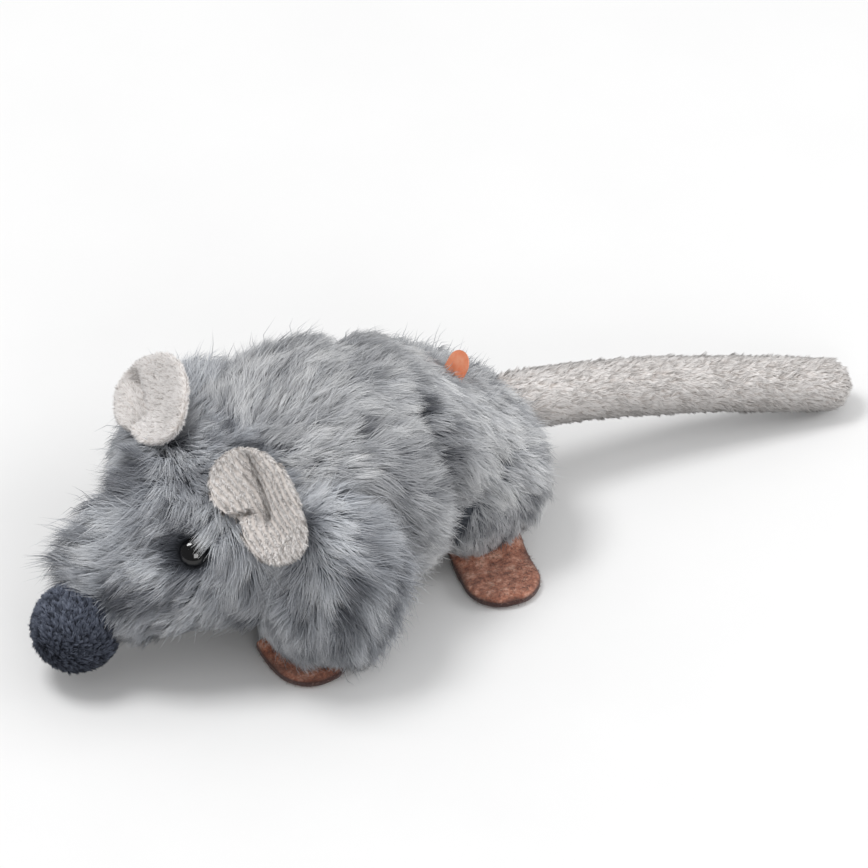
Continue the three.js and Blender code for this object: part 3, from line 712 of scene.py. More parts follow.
# %% Flow of the pile
FLOW_REACH, LEAST_WEIGHT, MIDDLE_BAND = 7.5, 1e-12, 5
FLOW = np.array([
    # place x, away from the middle, height; direction x, away, up; length; lift
    (-64, 0, 22, -0.8, 0.0, 0.6, 12.0, 0.85),
    (-62, 9, 19, -0.7, 0.7, 0.2, 8.0, 0.8),
    (-62, 9, 13, -0.4, 0.6, -0.4, 3.5, 0.4),
    (-62, 5, 9, -0.4, 0.4, -0.6, 2.0, 0.3),
    (-57, 0, 30, -1.0, 0.0, 0.35, 11.0, 0.6),
    (-49, 3, 38, -1.0, 0.0, 0.2, 9.0, 0.5),
    (-48, 11, 36, -1.0, -0.1, 0.2, 9.0, 0.45),
    (-56, 12, 27, -1.0, 0.1, 0.3, 10.0, 0.45),
    (-52, 17, 21, -0.8, 0.1, -0.55, 9.0, 0.4),
    (-54, 12, 13, -0.9, 0.1, -0.25, 3.4, 0.26),
    (-56, 0, 10, -0.8, 0.0, -0.3, 3.0, 0.3),
    (-42, 22, 27, -0.25, 0.1, -1.0, 9.0, 0.42),
    (-42, 22, 15, -0.6, 0.1, -0.6, 3.8, 0.26),
    (-48, 17, 9, -0.9, 0.1, -0.2, 2.8, 0.24),
    (-44, 4, 41, -0.5, 0.3, 0.2, 7.0, 0.55),
    (-38, 5, 43, 0.6, 0.3, 0.1, 7.5, 0.5),
    (-33, 0, 45, 0.9, 0.1, 0.1, 7.5, 0.5),
    (-32, 14, 43, 0.7, 0.5, -0.2, 8.0, 0.5),
    (-30, 26, 26, 0.1, 0.0, -1.0, 9.0, 0.4),
    (-18, 8, 47, 1.0, 0.3, 0.0, 7.5, 0.36),
    (0, 6, 48, 1.0, 0.35, 0.0, 7.5, 0.25),
    (14, 6, 46, 1.0, 0.2, -0.1, 6.5, 0.24),
    (24, 3, 42, 0.7, 0.6, 0.0, 3.6, 0.35),
    (30, 0, 39, 1.0, 0.1, -0.2, 5.0, 0.45),
    (31, 8, 34, 0.6, 0.5, -0.3, 7.0, 0.6),
    (37, 6, 25, 0.8, 0.4, 0.1, 6.0, 0.55),
    (35, 4, 8, 0.8, 0.1, -0.5, 6.5, 0.5),
    (-13, 25, 31, 0.9, 0.1, -0.6, 9.0, 0.42),
    (1, 24, 26, 1.0, 0.1, -0.5, 9.0, 0.42),
    (0, 22, 8, 0.5, 0.3, -0.8, 5.5, 0.38),
    (11, 22, 36, 0.8, 0.3, -0.6, 7.5, 0.36),
    (20, 21, 28, 0.3, 0.1, -1.0, 8.0, 0.42),
    (19, 24, 14, 0.1, 0.1, -1.0, 3.2, 0.32),
    (9, 22, 9, 0.1, 0.2, -1.0, 4.0, 0.35),
    (18, 20, 6, 0.2, 0.4, -0.8, 2.2, 0.3),
    (32, 19, 18, 0.5, 0.4, -0.7, 7.5, 0.5),
    (-24, 30, 40, 0.7, 0.25, -0.5, 8.5, 0.45),
    (-24, 36, 30, 0.2, 0.1, -1.0, 9.0, 0.42),
    (-24, 34, 14, 0.1, 0.1, -1.0, 8.0, 0.38),
    (-34, 30, 24, -0.2, 0.3, -1.0, 8.5, 0.4),
    (-7, 24, 14, 0.7, 0.2, -0.7, 8.5, 0.45),
    (-40, 8, 1, 0.3, 0.5, 0.0, 5.0, 0.4),
    (0, 8, 0, 1.0, 0.3, 0.0, 5.0, 0.4),
    (28, 6, 2, 1.0, 0.3, 0.0, 5.0, 0.4),
])


def flow_at(points):
    """Direction, length and lift at each point: the mean of the arrows, weighted by how near each one is,
    and mirrored on the left side. Within the middle band the sideways part fades to nothing, so that the
    sides meet."""
    side = np.sign(points[:, 1]) * np.minimum(np.abs(points[:, 1]) / MIDDLE_BAND, 1)
    weight = nearness(fold_over(points), FLOW[:, :3], FLOW_REACH) + LEAST_WEIGHT
    mean = weight @ FLOW[:, 3:] / weight.sum(1, keepdims=True)
    direction = mean[:, :3].copy()
    direction[:, 1] *= side
    return direction, mean[:, 3], mean[:, 4]


TOUSLED = np.array([
    # place x, y, height; reach; added direction x, y, up; added share of length
    (-41, 5, 40, 7.0, 0.0, -1.4, 0.0, 0.0),
    (-62, 8, 22, 5.5, -0.2, 0.5, 0.0, 0.5),
    (-64, 1, 21, 4.0, -0.1, 0.8, 0.0, 0.2),
    (-47, 8, 36, 4.5, -0.2, 2.2, -0.2, 0.25),
])


def tousle(points, direction, length):
    """Direction and length with what a hand has pushed about since, which is not the same on both sides:
    each change times a bell curve of the distance over its reach."""
    near = nearness(points, TOUSLED[:, :3], TOUSLED[:, 3])
    return direction + near @ TOUSLED[:, 4:7], length * (1 + near @ TOUSLED[:, 7])


print("arrows:", len(FLOW), "pile lengths in mm:", FLOW[:, 6].min(), "to", FLOW[:, 6].max())

# %% [markdown]
# ### Where hairs are rooted
#
# Roots are scattered over the skins evenly by area. A root inside a neighbouring form, an eye, the nose
# or the tail would push its hair through, so it is left out there.

# %% Roots
EYE_ROOM = 3.1
NOSE_CENTRE, NOSE_RADIUS = np.array((-70, 0, 12.6)), 8.9
TAIL_SEAM, TAIL_RADIUS = np.array((39.5, 0, 20.4)), 5.6
NOSE_ROOM, TAIL_ROOM = 0.3, 0.2
BELLY_HEIGHT, BELLY_SHARE = 1.5, 0.35


def scatter(rows, density, draw):
    """Points spread over closed rows of rings, as many to each square millimetre as the density: a quad
    is drawn by its area and a place in it by two even shares. The normal is the cross product of the
    quad's diagonals."""
    corners = [rows[:-1], rows[1:], np.roll(rows[1:], -1, axis=1), np.roll(rows[:-1], -1, axis=1)]
    a, b, c, d = (corner.reshape(-1, 3) for corner in corners)
    cross = np.cross(c - a, d - b)
    area = np.linalg.norm(cross, axis=1) / 2
    picked = draw.choice(len(area), int(area.sum() * density), p=area / area.sum())
    u, v = draw.random((2, len(picked), 1))
    points = (a[picked] * (1 - u) + b[picked] * u) * (1 - v) + (d[picked] * (1 - u) + c[picked] * u) * v
    normals = unit(cross[picked])
    outward = np.einsum("ij,ij->", normals, points - rows.reshape(-1, 3).mean(0))
    return points, normals * np.sign(outward)


def clear_of_neighbours(own, points):
    """True where a root of a skin lies outside every other skin, the eyes, the nose and the tail's
    seam."""
    clear = np.ones(len(points), bool)
    for name, form in (("body", BODY), ("head", HEAD)):
        if own != name:
            clear &= depth_in_form(form, points) > 1
    for name, leg in LEGS.items():
        for side, label in SIDES:
            if own != f"{name}_{label}":
                clear &= depth_in_leg(leg, side, points) > 1
    clear &= np.linalg.norm(fold_over(points) - EYE, axis=1) > EYE_ROOM
    clear &= np.linalg.norm(points - NOSE_CENTRE, axis=1) > NOSE_RADIUS + NOSE_ROOM
    return clear & (np.linalg.norm(points - TAIL_SEAM, axis=1) > TAIL_RADIUS + TAIL_ROOM)


# %% [markdown]
# ### Growing the hairs
#
# A hair system would make strands that the export can't carry, so each hair here is a real closed mesh: a
# thin three-sided spike that leaves the skin steeply and bends over into the nap. Real hairs are 0.05 mm
# thick, too fine to show at this size, so these are 0.14 mm, the thickness of a few hairs that cling
# together. Neighbours lean towards a shared guide near their tips, which gives the locks. Each hair
# carries its shade and its root-to-tip place in its own map, and the material reads only that. Its
# normals follow the skin under it more than its own sides, so that the fur takes the light as one soft
# surface and not as wires.


# %% Hairs' paths
AT_ONCE = 4000
LIFT_RANGE, LENGTH_RANGE = (0.6, 1.4), (0.55, 1.1)
GUIDE_LIFT, GUIDE_LENGTH = 0.2, 0.1
STRAY_LIFT, STRAY_LENGTH = 1.5, 1.05
LEAST_LIFT, FEWEST_GUIDES, LOCK_SHARE = 0.08, 8, 0.14


def nearest_guide(points, guides):
    """The number of the closest guide to each point, from squared distances, some thousand points at a
    time."""
    found = []
    for part in np.array_split(points, max(1, len(points) // AT_ONCE)):
        squares = (guides ** 2).sum(1)[None] - 2 * part @ guides.T
        found.append(squares.argmin(1))
    return np.concatenate(found)


def hair_paths(roots, normals, direction, length, lift, steps, draw, clump, spread, wave=0.0,
               scatter_turn=0.3, stray=0.0, lock=0.0):
    """Points along each hair. Height over the skin is lift times (1.6 t - 0.7 t squared), the way along
    the skin is what remains times (0.35 t + 0.65 t squared), and a sideways wave grows with t. Then each
    hair moves towards its guide's path by the clump share times t to the power 1.5, and towards a wider
    lock's by a share of that. Spread is the share of hairs that are guides, and strays stand up and
    follow none."""
    count = len(roots)
    t = np.linspace(0, 1, steps + 1)
    guides = draw.choice(count, max(FEWEST_GUIDES, int(count * spread)), replace=False)
    guide_of = guides[nearest_guide(roots, roots[guides])]
    lock_turn = draw.normal(0, scatter_turn, count)[guide_of]
    turn = (lock_turn + draw.normal(0, scatter_turn * 0.8, count))[:, None]
    along = unit(direction - normals * np.einsum("ij,ij->i", direction, normals)[:, None])
    aside = np.cross(normals, along)
    along, aside = along * np.cos(turn) + aside * np.sin(turn), aside * np.cos(turn) - along * np.sin(turn)
    lift = lift * draw.uniform(*LIFT_RANGE, count)
    lift = lift * (1 + GUIDE_LIFT * draw.normal(0, 1, count)[guide_of])
    length = length * draw.uniform(*LENGTH_RANGE, count)
    length = length * (1 + GUIDE_LENGTH * draw.normal(0, 1, count)[guide_of])
    strays = draw.random(count) < stray
    lift, length = lift * np.where(strays, STRAY_LIFT, 1), length * np.where(strays, STRAY_LENGTH, 1)
    lift = np.clip(lift, LEAST_LIFT, 1.0)
    up = (lift[:, None] * (1.6 * t - 0.7 * t ** 2))[..., None]
    way = (np.sqrt(1.02 - lift ** 2)[:, None] * (0.35 * t + 0.65 * t ** 2))[..., None]
    phase = draw.uniform(0, 2 * np.pi, (2, count, 1))
    turns = draw.uniform(0.7, 1.5, (2, count, 1))
    sway = wave * t ** 1.3 * np.sin(2 * np.pi * turns * t + phase)
    paths = roots[:, None] + length[:, None, None] * (normals[:, None] * up + along[:, None] * way)
    paths += aside[:, None] * sway[0][..., None] + normals[:, None] * 0.6 * sway[1][..., None]
    pull = np.where(strays, 0, clump)[:, None, None] * (t ** 1.5)[None, :, None]
    paths += (paths[guide_of] - paths) * pull
    if not lock:
        return paths, guide_of
    leaders = draw.choice(count, max(FEWEST_GUIDES, int(count * spread * LOCK_SHARE)), replace=False)
    lock_of = leaders[nearest_guide(roots, roots[leaders])]
    paths += (paths[lock_of] - paths) * pull * lock
    return paths, lock_of


# %% Hairs' skins
OWN_SIDE, TAPER = 0.55, 0.62
CHORD_TWIST = (0.31, 0.17, 0.53)
SHADE_NUDGE, PLACE_NUDGE = 0.008, 0.012
FIRST_PLACE, PLACE_SHARE, TIP_PLACE = 0.005, 0.97, 0.99


def spikes(paths, radius, shade, skin_normals, floor=0.04):
    """Closed three-sided spikes along paths. A ring of three points stands square to the hair's chord at
    every step but the last, and shrinks towards the tip. The map's u is the hair's shade and its v the
    way from root to tip, each nudged at a ring's three points so that no face is flat there. A point
    faces as the skin under it does, turned towards its own side of the hair by a share. None goes below
    the floor height."""
    count, steps = paths.shape[0], paths.shape[1] - 1
    t = np.arange(steps) / steps
    chord = unit(paths[:, -1] - paths[:, 0])
    first = unit(np.cross(chord, np.roll(chord, 1, axis=1) + CHORD_TWIST))
    second = np.cross(chord, first)
    angle = np.arange(3) * 2 * np.pi / 3
    ring = first[:, None] * np.cos(angle)[:, None] + second[:, None] * np.sin(angle)[:, None]
    size = radius * (1 - TAPER * t ** 1.5)
    rings = paths[:, :-1, None] + ring[:, None] * size[None, :, None, None]
    per_hair = 3 * steps + 1
    points = np.concatenate([rings.reshape(count, -1, 3), paths[:, -1:]], 1).reshape(-1, 3)
    points[:, 2] = np.maximum(points[:, 2], floor)
    side, after = np.arange(3), (np.arange(3) + 1) % 3
    near = 3 * np.arange(steps - 1)[:, None]
    quads = np.stack([near + side, near + after, near + 3 + after, near + 3 + side], -1).reshape(-1, 4)
    top = 3 * (steps - 1)
    ends = np.vstack([np.stack([top + side, top + after, np.full(3, 3 * steps)], -1), [[2, 1, 0]]])
    start = (per_hair * np.arange(count))[:, None, None]
    faces = [(quads + start).reshape(-1, 4), (ends + start).reshape(-1, 3)]
    u = np.repeat(shade[:, None, None], steps, 1) + (-SHADE_NUDGE, 0, SHADE_NUDGE)
    v = np.repeat((t * PLACE_SHARE + FIRST_PLACE)[None, :, None], count, 0) + (0, PLACE_NUDGE, 0)
    ring_map = np.stack(np.broadcast_arrays(u, v), -1).reshape(count, -1, 2)
    tip_map = np.stack([shade, np.full(count, TIP_PLACE)], -1)[:, None]
    sides = np.broadcast_to(skin_normals[:, None, None] + OWN_SIDE * ring[:, None], rings.shape)
    facing = unit(np.concatenate([sides.reshape(count, -1, 3), skin_normals[:, None]], 1).reshape(-1, 3))
    return points, faces, np.concatenate([ring_map, tip_map], 1).reshape(-1, 2), facing


# %% [markdown]
# ### Colours of the pile
#
# The long pile is acrylic, spun in one grey, but it looks dark at the root, where light is lost between
# the hairs, and silvery at the tips. A ramp over each hair's length paints that, painted shade at the
# root and painted light at the tip, and the hair's shade lightens or darkens it. The fibres are smooth,
# so they keep a soft sheen.


# %% Pile material
def pile_material(name, stops, shades, **constants):
    """Colour along the hair from a ramp over v, dark at the root and light at the tip, painted shade and
    painted light, times a grey from a ramp over u.
    """
    material = new_material(name, **constants)
    uv = add_node(material, "UVMap", uv_map="OFBake").outputs["UV"]
    parts = add_node(material, "SeparateXYZ", {"Vector": uv}).outputs
    along = add_node(material, "ValToRGB", {"Fac": parts["Y"]}, stops)
    grey = add_node(material, "ValToRGB", {"Fac": parts["X"]}, shades)
    mixed = add_node(material, "Mix", {0: 1.0, 6: along.outputs[0], 7: grey.outputs[0]}, data_type="RGBA",
                     blend_type="MULTIPLY", clamp_result=False)
    wire(material, Base_Color=mixed.outputs[2])
    return material


def pile_shade(middle, patches, by_tuft, by_hair, tuft_of, draw):
    """Each hair's place on the grey ramp: a middle one, its patch's share, and random shares of its tuft
    and its own."""
    shade = middle + patches + by_tuft * draw.normal(0, 1, len(tuft_of))[tuft_of]
    return np.clip(shade + draw.normal(0, by_hair, len(tuft_of)), *SHADE_RANGE)


SHADE_RANGE = (0.02, 0.98)
SHADES = [(0, "#62646A"), (0.5, "#CCCDD0"), (1, "#FFFFFF")]
SOFT_SHADES = [(0, "#A6A3A1"), (0.45, "#F1F0EF"), (1, "#FFFFFF")]
BACK_PILE = [(0, "#93969C"), (0.35, "#CBCDD0"), (0.7, "#E8E9EA"), (1, "#F8F8F7")]
FACE_PILE = [(0, "#868A91"), (0.35, "#C3C7CD"), (0.7, "#E3E6EA"), (1, "#F6F6F7")]
ACRYLIC = {"Roughness": 0.6, "Specular_IOR_Level": 0.2}
back_pile = pile_material("long acrylic pile, silver grey", BACK_PILE, SHADES, **ACRYLIC)
face_pile = pile_material("long acrylic pile, blue grey", FACE_PILE, SHADES, **ACRYLIC)
print("pile:", back_pile.name, "and", face_pile.name)

# %% [markdown]
# ### Patches, painted light and painted shade
#
# Brushed pile lies in patches: here it is a little longer, there it stands up, there it swirls, and each
# patch catches the light in its own way. Slow random waves give the patches, and a second short table
# paints light and shade at places: painted light where the toy is more lit, painted shade in gaps,
# hollows and shaded sides, such as round the snout and on the legs.

# %% Fur's patches, painted light and painted shade
FUR = {
    # skin: hairs to a square millimetre, which are fewer on the legs of the far side, and finish
    "body": (9.8, back_pile),
    "head": (11.0, face_pile),
    "foreleg_left": (10.0, face_pile),
    "foreleg_right": (8.4, face_pile),
    "haunch_left": (10.0, back_pile),
    "haunch_right": (8.4, back_pile),
}
MOTTLE = {"body": 0.17, "head": 0.36, "foreleg": 0.26, "haunch": 0.3}
# Places where the pile is painted lighter or darker: painted light where the toy is more lit, painted shade in its
# gaps, hollows and shaded sides.
PAINTED_LIGHT_AND_SHADE = np.array([
    # place x, away from the middle, height; reach; how much lighter or darker
    (-48.5, 6.5, 36.3, 3.0, -0.42), (-49.5, 10.3, 33, 2.6, -0.5), (-60.4, 5.6, 25.2, 1.8, -0.6),
    (-61.5, 7.3, 23.3, 2.0, -0.55), (-58.6, 13.2, 20.5, 2.2, -0.3), (-45, 13, 37, 4.0, 0.3),
    (-54, 3, 32, 3.6, 0.3), (-57, 8.1, 28.5, 2.6, 0.25), (-51, 17.4, 21, 3.0, 0.25), (-48, 16, 26, 6.0, 0.12),
    (-40, 5, 41, 3.0, 0.2), (-43, 21.6, 21.4, 3.5, -0.2), (-26, 34, 20, 9.0, -0.22), (20, 21, 22, 9.0, 0.28),
    (-6, 24, 30, 9.0, -0.1), (-28, 25, 38, 4.0, 0.25), (-44, 18, 14, 7.0, 0.12), (-57, 12, 16, 5.0, 0.2),
    (0, 22, 12, 6.0, 0.16),
    (-16, 27, 33, 4.0, -0.25), (-30, 29, 34, 4.0, 0.2), (8, 20, 33, 3.5, 0.05), (10, 21, 17, 4.0, -0.12),
    (7, 7, 44, 3.0, -0.02), (16, 8, 43, 4.5, 0.18), (24, 20, 22, 4.5, -0.1), (26, 12, 34, 5.0, 0.2),
    (-12, 6, 46, 7.0, 0.15), (-26, 8, 42, 5.0, 0.2),
])


def painted_light_and_shade_at(points):
    """How much painted light or painted shade the pile gets near the places above: each change times how
    near its place is."""
    return nearness(fold_over(points), PAINTED_LIGHT_AND_SHADE[:, :3], PAINTED_LIGHT_AND_SHADE[:, 3]) @ PAINTED_LIGHT_AND_SHADE[:, 4]


print("tones:", len(PAINTED_LIGHT_AND_SHADE))

# %% Comb the fur
SWIRL, SWIRL_SIZE = 0.5, 16
CREASE_SHORTENING = 0.14
LONGER, LONGER_SIZE = 0.12, 10
STEEPER, STEEPER_SIZE = 0.3, 8
EYE_PUSH, PUSH_FROM, LEAST_PUSH = 3.2, 0.3, 0.3
EYE_SHORT, PUSHED_SHORT = 0.25, 0.4


def comb(roots, normals, deep, by_eye, draw):
    """Direction, length and lift of each hair: the flow and what tousled it, turned about the normal in
    slow swirls, longer and steeper in patches and shorter in creases. The hairs that would cross the left
    eye are pushed away from it, the more the nearer their roots are, and shortened. The right eye stays
    half under its hair."""
    direction, length, lift = flow_at(roots)
    direction, length = tousle(roots, direction, length)
    swirl = SWIRL * mottle(roots, SWIRL_SIZE, draw)[:, None]
    direction = direction * np.cos(swirl) + np.cross(normals, direction) * np.sin(swirl)
    length = length * (1 - CREASE_SHORTENING * deep) * (1 + LONGER * mottle(roots, LONGER_SIZE, draw))
    lift = lift * (1 + STEEPER * mottle(roots, STEEPER_SIZE, draw))
    left = roots[:, 1] < 0
    from_eye = unit(roots - EYE * np.where(left[:, None], (1, -1, 1), (1, 1, 1)))
    over_eye = by_eye * np.clip(PUSH_FROM - (unit(direction) * from_eye).sum(1), 0, 1)
    over_eye *= draw.uniform(LEAST_PUSH, 1, len(roots)) * left
    direction = direction + EYE_PUSH * over_eye[:, None] * from_eye
    return direction, length * (1 - EYE_SHORT * by_eye * left) * (1 - PUSHED_SHORT * over_eye), lift


# %% Grow the fur
FUR_LIMIT = 190_000
QUICK_SHARE = 0.45
HAIR_RADIUS, HAIR_STEPS = 0.07, 2
PATCH, SMALL_PATCH, SMALL_SHARE = 7, 3.5, 0.6
CREASE_PAINTED_SHADE, EYE_PAINTED_SHADE = 0.12, 0.6

total = 0
for number, (name, (density, finish)) in enumerate(FUR.items()):
    draw = np.random.default_rng(100 + number)
    roots, normals = scatter(skins[name], density * (QUICK_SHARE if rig.quick() else 1), draw)
    keep = clear_of_neighbours(name, roots)
    keep &= (roots[:, 2] > BELLY_HEIGHT) | (draw.random(len(roots)) < BELLY_SHARE)
    roots, normals = roots[keep], normals[keep]
    deep, by_eye = in_creases(roots), eye_wells(roots)
    direction, length, lift = comb(roots, normals, deep, by_eye, draw)
    paths, lock_of = hair_paths(roots, normals, direction, length, lift, HAIR_STEPS, draw, clump=0.45,
                                spread=0.08, wave=0.4, stray=0.06, lock=0.7)
    patches = mottle(roots, PATCH, draw) + SMALL_SHARE * mottle(roots, SMALL_PATCH, draw)
    # Hairs in the creases and round the eyes are made darker, painted shade, and the table's places get painted light
    # and shade.
    patches = MOTTLE[name.split("_")[0]] * patches + painted_light_and_shade_at(roots) - CREASE_PAINTED_SHADE * deep - EYE_PAINTED_SHADE * by_eye
    shade = pile_shade(0.58, patches, by_tuft=0.13, by_hair=0.08, tuft_of=lock_of, draw=draw)
    order = np.argsort(roots[:, 0])
    triangles = len(roots) * (6 * HAIR_STEPS - 2)
    parts = math.ceil(triangles / FUR_LIMIT)
    for part, members in enumerate(np.array_split(order, parts)):
        points, faces, uv, facing = spikes(paths[members], HAIR_RADIUS, shade[members], normals[members])
        make_piece(f"{name}_fur_{part + 1}", points, faces, finish, "toy", "long_pile_fur", uv, facing)
    total += triangles
    print(name, len(roots), "hairs in", parts, "pieces")
print("fur triangles:", total)

# %% [markdown]
# ## Nose
#
# The nose is a stuffed ball of short curly pile, gathered where it is sewn to the snout. The ball is a
# closed form, and short tufts on it lie in rows round it, clinging together so that they look curled. Its
# backing is a fine knit, painted near black as painted shade, that only shows as depth between them.

# %% Nose
NOSE_PILE = [(0, "#373B46"), (0.5, "#666C7C"), (1, "#99A1B1")]
nose_pile = pile_material("short curled pile, slate", NOSE_PILE, SHADES, Roughness=0.75,
                          Specular_IOR_Level=0.2)
nose_cloth = new_material("knitted backing, slate", Roughness=0.95, Specular_IOR_Level=0.1)
NOSE_KNIT, NOSE_KNIT_DEPTH = 0.7, 0.25
nose_grain = noise(nose_cloth, NOSE_KNIT)
# The knit's near-black ramp is painted shade for the depth between the tufts.
ramp = add_node(nose_cloth, "ValToRGB", {"Fac": nose_grain}, [(0.3, "#14161B"), (0.7, "#292C35")])
wire(nose_cloth, Base_Color=ramp.outputs["Color"], Normal=cloth_bump(nose_cloth, nose_grain, NOSE_KNIT_DEPTH))
NOSE_TUFTS, TUFT_RADIUS = 26, 0.13
GATHERS, GATHER_DEPTH = 8, 0.02


def nose_form(rings, sides):
    """A ball whose axis is the snout's, with shallow gathers: eight waves round it that grow towards the
    seam."""
    turn = np.linspace(0, np.pi, rings)[:, None]
    angle = np.linspace(0, 2 * np.pi, sides, endpoint=False)[None]
    gather = 1 - GATHER_DEPTH * np.cos(GATHERS * angle) * np.sin(turn) * (1 - np.cos(turn)) / 2
    radius = NOSE_RADIUS * gather
    x = -NOSE_RADIUS * np.cos(turn) + 0 * angle
    y, z = radius * np.sin(turn) * np.cos(angle), radius * np.sin(turn) * np.sin(angle)
    return np.stack([x, y, z], -1) + NOSE_CENTRE


# %% Sew on the nose
nose_rows = nose_form(49, 72)
nose = make_piece("nose_skin", *close_form(nose_rows), nose_cloth, slot="nose_plush")
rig.replaces(nose, "nose_cover", "nose_stuffing")
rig.padded(nose, fill=0.9)
draw = np.random.default_rng(201)
roots, normals = scatter(nose_rows, NOSE_TUFTS, draw)
keep = (depth_in_form(HEAD, roots) > 1) | (roots[:, 0] < HEAD["front"])
roots, normals = roots[keep], normals[keep]
swirl = np.cross(normals, (1.0, 0.0, 0.0)) + (0.5, 0, 0)
paths, tuft_of = hair_paths(roots, normals, swirl, length=1.6, lift=0.5, steps=1, draw=draw, clump=0.55,
                            spread=0.14, scatter_turn=0.5)
shade = pile_shade(0.5, 0.0, by_tuft=0.22, by_hair=0.1, tuft_of=tuft_of, draw=draw)
points, faces, uv, facing = spikes(paths, TUFT_RADIUS, shade, normals)
make_piece("nose_pile", points, faces, nose_pile, slot="nose_plush", uv=uv, normals=facing)
print("nose tufts:", len(roots))

# %% [markdown]
# ## Ears
#
# Each ear is two round pieces of short velour, sewn round the rim and gathered by a dart at the root,
# which cups it and lets one lobe lie over the other. Each layer is a disc of rings that runs over the
# front, round a soft edge and back behind. Its cup is a parabola, at the dart the two lobes step apart,
# and a few soft folds are pressed in, which are not the same on both sides, because the toy has been
# handled.

# %% Ears
EAR_RADIUS, EAR_DEPTH, EAR_CLOTH, LAYER_GAP = 11.6, 2.6, 1.5, 0.05
EAR_CENTRE = np.array((-38.5, 19.5, 43.6))
EAR_OPEN, EAR_OUT = np.array((-0.75, 0.25, 0.61)), np.array((0.458, 0.865, 0.204))
LOBE_STEP, LOBE_WIDTH, LOBE_START, LOBE_RISE = 1.6, 0.8, 0.2, 0.5
EAR_REACH = {
    # how far the rim is from the ear's middle, every 30 degrees from the half turn on
    -1: [8.9, 5.6, 5.0, 8.1, 13.2, 15.2, 11.3, 9.8, 9.8, 10.9, 12.3, 12.0],
    1: [11.0, 15.6, 14.6, 12.9, 11.5, 10.3, 10.3, 10.4, 9.1, 7.6, 6.2, 5.6],
}
EAR_DARTS = {-1: math.radians(-150), 1: math.radians(150)}
EAR_FOLDS = {
    # each fold's two ends, depth and half width
    -1: [((2.4, -2.1), (-3.6, 9.4), 1.9, 1.1), ((-6.5, -1.4), (2.2, -2.1), 1.2, 0.6)],
    1: [((-3.5, 2.6), (7.4, 1.8), 2.6, 1.2)],
}


def ear_axes(side):
    """The ear's own axes: out from the head, across, and the way its cup opens."""
    opening = unit(EAR_OPEN * (1, side, 1))
    out = EAR_OUT * (1, side, 1)
    out = unit(out - opening * (out @ opening))
    return np.stack([out, np.cross(opening, out), opening])


def reach_round(side, angle):
    """The rim's distance at an angle: the table as a smooth closed line."""
    table = EAR_REACH[side]
    closed = table[-1:] + table + table[:2]
    return profile(closed, ((angle + np.pi) / (np.pi / 6) % 12 + 1) / (len(closed) - 1))


def fold_depth(side, x, y):
    """How deep the ear is folded in at places on it: along each fold's line a bell curve of the
    distance."""
    depth = np.zeros(np.broadcast(x, y).shape)
    for start, end, deep, half_width in EAR_FOLDS[side]:
        fold = np.subtract(end, start)
        part = np.clip(((x - start[0]) * fold[0] + (y - start[1]) * fold[1]) / (fold @ fold), 0, 1)
        away = (x - start[0] - part * fold[0]) ** 2 + (y - start[1] - part * fold[1]) ** 2
        depth = depth + deep * np.exp(-away / (2 * half_width ** 2))
    return depth


def ear_layer(side, low, high, rings, sides):
    """Rings from the middle of the front over the edge to the middle of the back. Height is the cup's
    depth times (share squared - 1/2), plus a lobe step that is steep at the dart and fades with the angle
    from it, less a bell curve round each fold's line. Its outer side rounds off at the edge as a root of
    1 - share to the power 5, and the side that lies on the other layer doesn't, so that the two meet all
    round the rim."""
    turn = np.linspace(0, np.pi, rings)
    share = np.sin(turn)[:, None]
    angle = (np.linspace(-np.pi, np.pi, sides, endpoint=False) + np.pi / sides)[None]
    past_dart = (angle - EAR_DARTS[side] + np.pi) % (2 * np.pi) - np.pi
    lobe = side * np.sign(past_dart) * np.exp(-(past_dart / LOBE_WIDTH) ** 2)
    fade = np.clip((share - LOBE_START) / LOBE_RISE, 0, 1)
    radius = reach_round(side, angle) * share
    thick = (high - low) * np.sqrt(np.maximum(1 - share ** 5, 0))
    upper = (turn < np.pi / 2)[:, None]
    outside = upper if low > 0 else ~upper
    z = np.where(outside, np.sign(low + high) * thick, 0) + (low if low > 0 else high)
    z = z + EAR_DEPTH * (share ** 2 - 0.5)
    z = z + LOBE_STEP * lobe * fade * fade * (3 - 2 * fade)
    x, y = radius * np.cos(angle), radius * np.sin(angle)
    return np.stack([x, y, z - fold_depth(side, x, y)], -1)


# %% [markdown]
# The velour has a short pile of warm grey, dull and soft, with a little sheen where it is seen along its
# surface. It is woven in rows, which the near ear shows as furrows, so the roots of its tufts are combed
# towards the rows' middle lines, and the tufts in the furrows and the ears' folds are painted darker,
# painted shade. The tail is made of it too.

# %% Ear cloth and pile
VELOUR_GRAIN, VELOUR_DEPTH = 0.8, 0.25
ear_cloth = new_material("short velour, warm grey", Roughness=0.9, Sheen_Weight=0.25, Sheen_Roughness=0.5,
                         Specular_IOR_Level=0.15)
weave = noise(ear_cloth, VELOUR_GRAIN)
ramp = add_node(ear_cloth, "ValToRGB", {"Fac": weave}, [(0.3, "#C6BEB8"), (0.7, "#E4DEDA")])
wire(ear_cloth, Base_Color=ramp.outputs["Color"], Normal=cloth_bump(ear_cloth, weave, VELOUR_DEPTH))
EAR_PILE = [(0, "#DAD3CF"), (0.4, "#F5F1EF"), (1, "#FFFDFC")]
ear_pile = pile_material("short velour pile, warm grey", EAR_PILE, SOFT_SHADES, Roughness=0.7,
                         Specular_IOR_Level=0.2)
EAR_TUFTS = {"lining": 24, "back": 16}
ROW_SPACING, ROW_PULL = 1.35, {-1: 0.85, 1: 0.12}
ROW_SWAY, ROW_SWAY_LENGTH = 0.35, 2.2
FURROW_PAINTED_SHADE, FOLD_PAINTED_SHADE = 0.75, 0.06
BEHIND, RIM_SPLAY = -0.25, 0.3
print("ear tufts to a square millimetre:", EAR_TUFTS)


